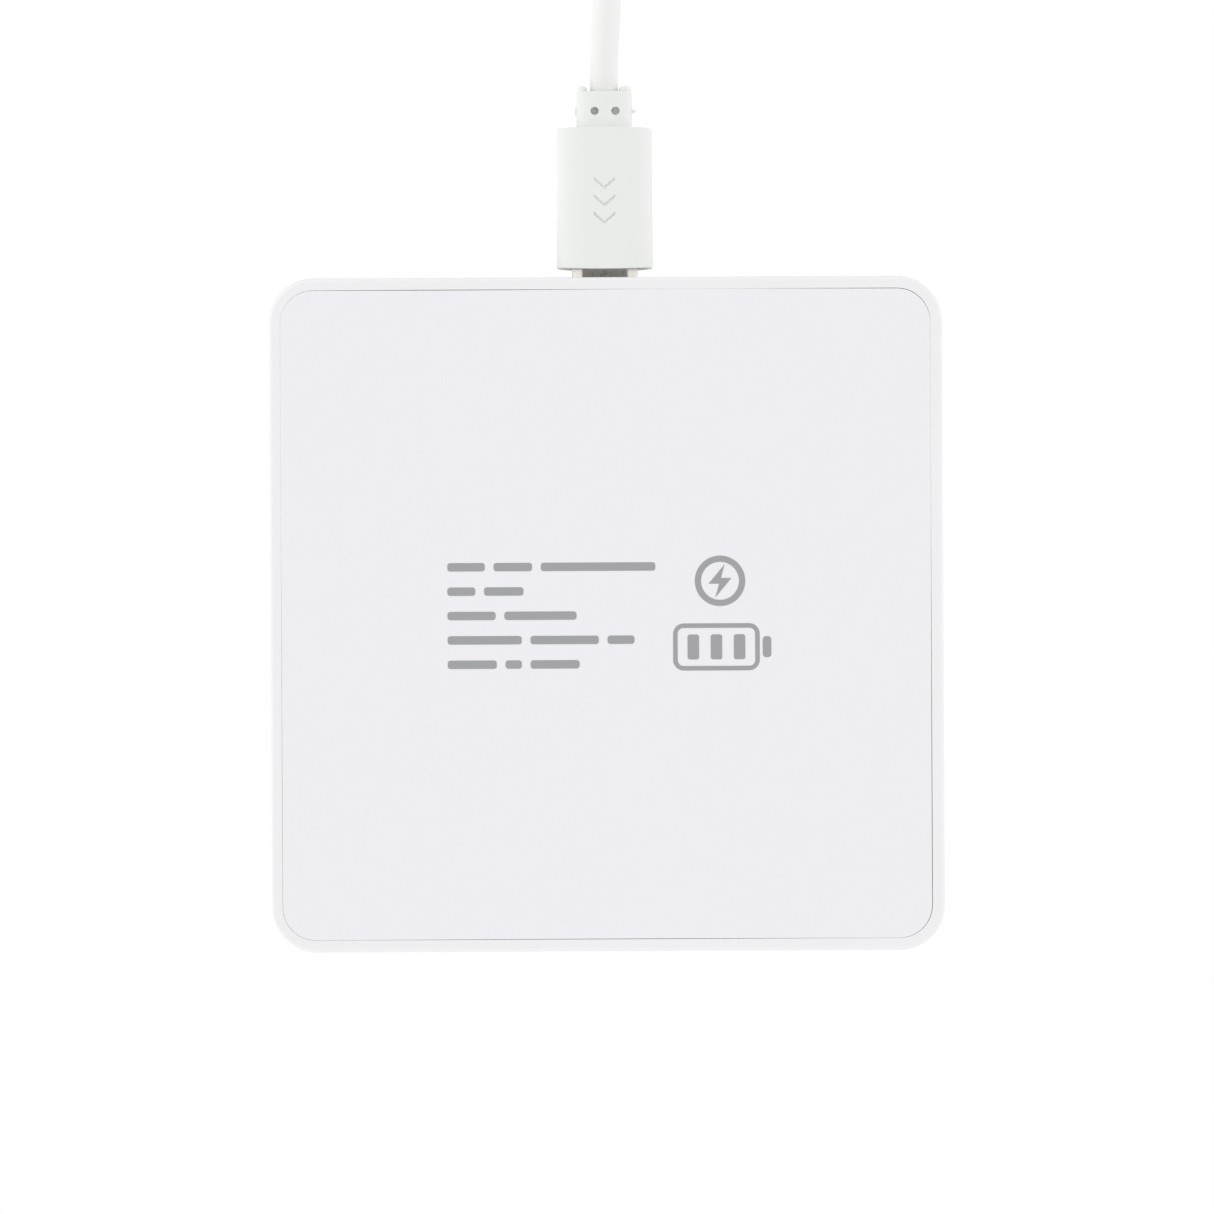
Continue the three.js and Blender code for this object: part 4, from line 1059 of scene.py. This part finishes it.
def coil():
    """The spiral with its two leads, which turn down through the shield and the board."""
    low, high = box_mm("transmitter_coil")
    axis = high.z - COIL_WIRE
    first, pitch, turns = 10.4, 1.15, 10
    (inner, _), (outer, lead_y) = coil_leads()
    bend = 0.55
    corner = arc((0, 0), bend, 0, 90, 8)
    path = [Vector((inner, 0, low.z)), Vector((inner, 0, axis - 1.2))]
    path += [Vector((inner + bend - x, 0.0, axis - bend + z)) for x, z in corner]
    for i in range(1, turns * 72 + 1):
        angle = math.radians(5 * i)
        r = first + pitch * i / 72
        path.append(Vector((r * math.cos(angle), r * math.sin(angle), axis)))
    path.append(Vector((outer - 2.0, lead_y, axis)))
    path += [Vector((outer - bend + x, lead_y, axis - bend + z)) for x, z in reversed(corner)]
    path += [Vector((outer, lead_y, axis - 1.2)), Vector((outer, lead_y, low.z))]
    piece = tube("wound_coil", softened(evened(path, 0.45), 2), COIL_WIRE, 12)
    smooth(piece, 60)
    place(piece, COPPER, "pad", "copper", "transmitter_coil")


# -------------------- light pipe, shield and tapes


def light_pipe():
    """A clear window with a domed face in the wall, and a flange inside the wall."""
    low, high = box_mm("status_light_pipe")
    window = rounded_rectangle(2.5, 1.1, 0.45, 8)
    flange = rounded_rectangle(3.8, 1.6, 0.3, 8)
    rings = []
    for outline, share, y in ((window, 0.5, 0.0), (window, 0.88, 0.02), (window, 0.97, 0.07),
                              (window, 1, 0.16), (window, 1, 2.03), (flange, 1, 2.03),
                              (flange, 1, high.y - low.y)):
        scaled = [(x * share, z * share) for x, z in outline]
        rings.append(upright(scaled, low.y + y, (0, centre_mm("status_light_pipe").z)))
    piece = loft("light_lens", rings)
    smooth(piece)
    place(piece, CLEAR_LENS, "pad", "light_pipe", "status_light_pipe")


def disc_with_hole(name, node, material, slot):
    """A disc round the coil's centre, with softened edges and the hole for the inner lead."""
    low, high = box_mm(node)
    edge = min(0.08, (high.z - low.z) / 3)
    radius = high.x
    profile = [(radius - edge, low.z), (radius, low.z + edge), (radius, high.z - edge),
               (radius - edge, high.z)]
    piece = loft(name, [flat(circle(r, sides=120), z) for r, z in profile])
    x, y = coil_leads()[0]
    cut(piece, rod("lead_hole", 0.75, low.z - CUT, high.z + CUT, x, y, 32))
    smooth(piece)
    place(piece, material, "pad", slot, node)


def coil_tape():
    low, high = box_mm("coil_adhesive_ring")
    outer, inner = (circle(radius, sides=120) for radius in (high.x, 11.4))
    piece = hoop("coil_tape_ring", outer, inner, low.z, high.z)
    smooth(piece)
    place(piece, TAPE, "pad", "tape", "coil_adhesive_ring")


def board_solder():
    """Fillets of solder round the coil's leads under the board, and tinned rings at the screws."""
    underside = box_mm("circuit_board")[0].z
    fillet = [(1.15, -0.03), (1.15, 0.0), (1.12, 0.05), (0.9, 0.12), (0.7, 0.24), (0.6, 0.4),
              (0.42, 0.47), (0.2, 0.5)]
    made = []
    for centre in coil_leads():
        rings = [flat(circle(radius, centre, 36), underside - 0.01 - drop) for radius, drop in fillet]
        made.append(loft("fillet", rings))
    for centre in screw_centres():
        outer, inner = circle(2.6, centre), circle(1.15, centre)
        made.append(hoop("ring", outer, inner, underside - 0.02, underside + 0.01))
    piece = combine("board_solder", made)
    smooth(piece)
    place(piece, SOLDER, "pad", "steel")


# -------------------- CAD nodes that stay

# A node gets the first finish whose key is part of its name.
CAD_FINISHES = {
    "circuit_board": BOARD,
    "board_screw": SCREW_STEEL,
    "controller_chip": CHIP_EPOXY,
    "driver_chip": LEADED_CHIP,
    "resistor": RESISTOR,
    "status_led": LED_EPOXY,
    "input_capacitor": CERAMIC_X,
    "buffer_capacitor": CERAMIC_X,
    "resonant_capacitor": CERAMIC_Y,
    "port_shell": LARGE_STEEL,
    "port_tongue": BLACK_PLASTIC,
    "latch": SCREW_STEEL,
    "insulator": BLACK_PLASTIC,
    "contact": GOLD,
    "power_wire": WIRE_RED,
    "ground_wire": WIRE_BLACK,
}


def finish_cad_nodes():
    """Softens the edges of the CAD nodes that stay in view and gives them their finish."""
    for name, node in nodes.items():
        finish = next((finish for part, finish in CAD_FINISHES.items() if part in name), None)
        if finish is None:
            continue
        node.data.materials.clear()
        node.data.materials.append(finish)
        weld(node)
        low, high = box_mm(name)
        thin = min(high - low)
        bevel = node.modifiers.new("soft_edges", "BEVEL")
        bevel.width = min(0.06, thin / 6) * MM
        bevel.segments = 2
        bevel.limit_method = "ANGLE"
        bevel.angle_limit = math.radians(50)


# -------------------- stage: world, lights, floor, camera


def world():
    """White surroundings. Seen straight from below, they are brightest level with the object, and
    reflections find the dark of the camera below it. Seen from elsewhere, they are softer."""
    made = bpy.data.worlds.new("studio")
    made.use_nodes = True
    bpy.context.scene.world = made
    made.node_tree.nodes.clear()
    graph = Graph(made.node_tree)
    x, y, z = graph.parts(graph.add("ShaderNodeTexCoord").outputs["Generated"])
    path = graph.add("ShaderNodeLightPath")
    below = graph.ranged(z, -1.0, -0.1, 0.83, 1.38)
    below = graph.math("MULTIPLY", below, graph.ranged(z, 0.0, 0.35, 1.0, 0.5))
    below = graph.math("MULTIPLY", below, graph.ranged(x, -1.0, 1.0, 0.94, 1.06))
    ends = graph.ranged(graph.math("ABSOLUTE", y, 0.0), 0.2, 1.0, 1.0, 0.84)
    below = graph.math("MULTIPLY", below, ends)
    lens = graph.ranged(z, -0.985, -0.9, 0.1, 1.0)
    below = graph.math("MULTIPLY", below, graph.choose(path.outputs["Is Glossy Ray"], 1.0, lens))
    slanting = graph.ranged(z, -1.0, 0.3, 0.84, 0.6)
    above = graph.ranged(z, -0.1, 0.9, 0.5, 0.66)
    height = graph.camera_height()
    light = graph.choose(graph.ranged(height, -0.98, -0.92, 0.0, 1.0), below, slanting)
    light = graph.choose(graph.math("GREATER_THAN", height, 0.0), light, above)
    background = graph.add("ShaderNodeBackground")
    graph.feed((1, 1, 1, 1), background.inputs["Color"])
    graph.feed(graph.choose(path.outputs["Is Camera Ray"], light, 1.0), background.inputs["Strength"])
    output = graph.add("ShaderNodeOutputWorld")
    graph.feed(background.outputs[0], output.inputs["Surface"])


def softbox(name, location, size, power):
    """A square light that faces the object. Its place and size are in metres."""
    light = bpy.data.lights.new(name, "AREA")
    light.size = size
    light.energy = power
    lamp = linked(name, light)
    lamp.location = location
    lamp.rotation_euler = (-lamp.location).to_track_quat("-Z", "Y").to_euler()
    lamp.visible_camera = False


def floor():
    """A pale floor that fades out with distance. Seen from below it is clear, and the underside
    shows through it."""
    middle = (cad_box[0] + cad_box[1]) / 2
    outline = circle(0.9, middle.xy, 96)
    mesh = bpy.data.meshes.new("floor")
    mesh.from_pydata([(x, y, -0.05 * MM) for x, y in outline], [], [tuple(range(len(outline)))])
    piece = linked("floor", mesh)
    graph = Finish("pale_floor", linear(230, 230, 232), 0.7)
    graph.grain(1.5, 0.01)
    distance = graph.add("ShaderNodeVectorMath", operation="DISTANCE")
    graph.feed(graph.place, distance.inputs[0])
    graph.feed((middle.x, middle.y, 0), distance.inputs[1])
    fade = graph.ranged(distance.outputs["Value"], 0.16, 0.6, 0.0, 1.0)
    from_below = graph.math("LESS_THAN", graph.camera_height(), 0.0)
    mix = graph.add("ShaderNodeMixShader")
    graph.feed(graph.math("MAXIMUM", fade, from_below), mix.inputs[0])
    graph.feed(graph.shader.outputs[0], mix.inputs[1])
    graph.feed(graph.add("ShaderNodeBsdfTransparent").outputs[0], mix.inputs[2])
    graph.feed(mix.outputs[0], graph.tree.nodes["Material Output"].inputs["Surface"])
    mesh.materials.append(graph.material)


def camera():
    """Straight below the pad, looking up, with the plug at the top of the picture, and turned and
    shifted by the photographer's small errors."""
    distance, half_frame = 0.65, 0.063
    made = bpy.data.cameras.new("camera")
    made.sensor_width = 36
    made.lens = made.sensor_width / 2 * distance / half_frame
    made.clip_start = 0.01
    made.clip_end = 10
    piece = linked("camera", made)
    axes = Matrix(((-1, 0, 0), (0, 1, 0), (0, 0, -1)))
    roll = Matrix.Rotation(math.radians(-0.27), 3, "Z")
    piece.matrix_world = Matrix.Translation((-0.00006, 0.00074, -distance)) @ (axes @ roll).to_4x4()
    bpy.context.scene.camera = piece


def stage():
    bpy.context.scene.view_settings.view_transform = "Standard"
    world()
    softbox("key", (0.5, -0.35, 0.6), 0.5, 2.4)
    softbox("fill", (-0.6, 0.3, 0.45), 0.6, 0.8)
    floor()
    camera()


# -------------------- assembly

cover()
plate()
underside_print()
micro_plug()
micro_shell()
large_plug()
large_shell()
cable()
coil()
light_pipe()
disc_with_hole("ferrite_disc", "ferrite_shield", FERRITE, "ferrite")
disc_with_hole("shield_tape", "shield_adhesive_disc", TAPE, "tape")
coil_tape()
board_solder()
finish_cad_nodes()
stage()
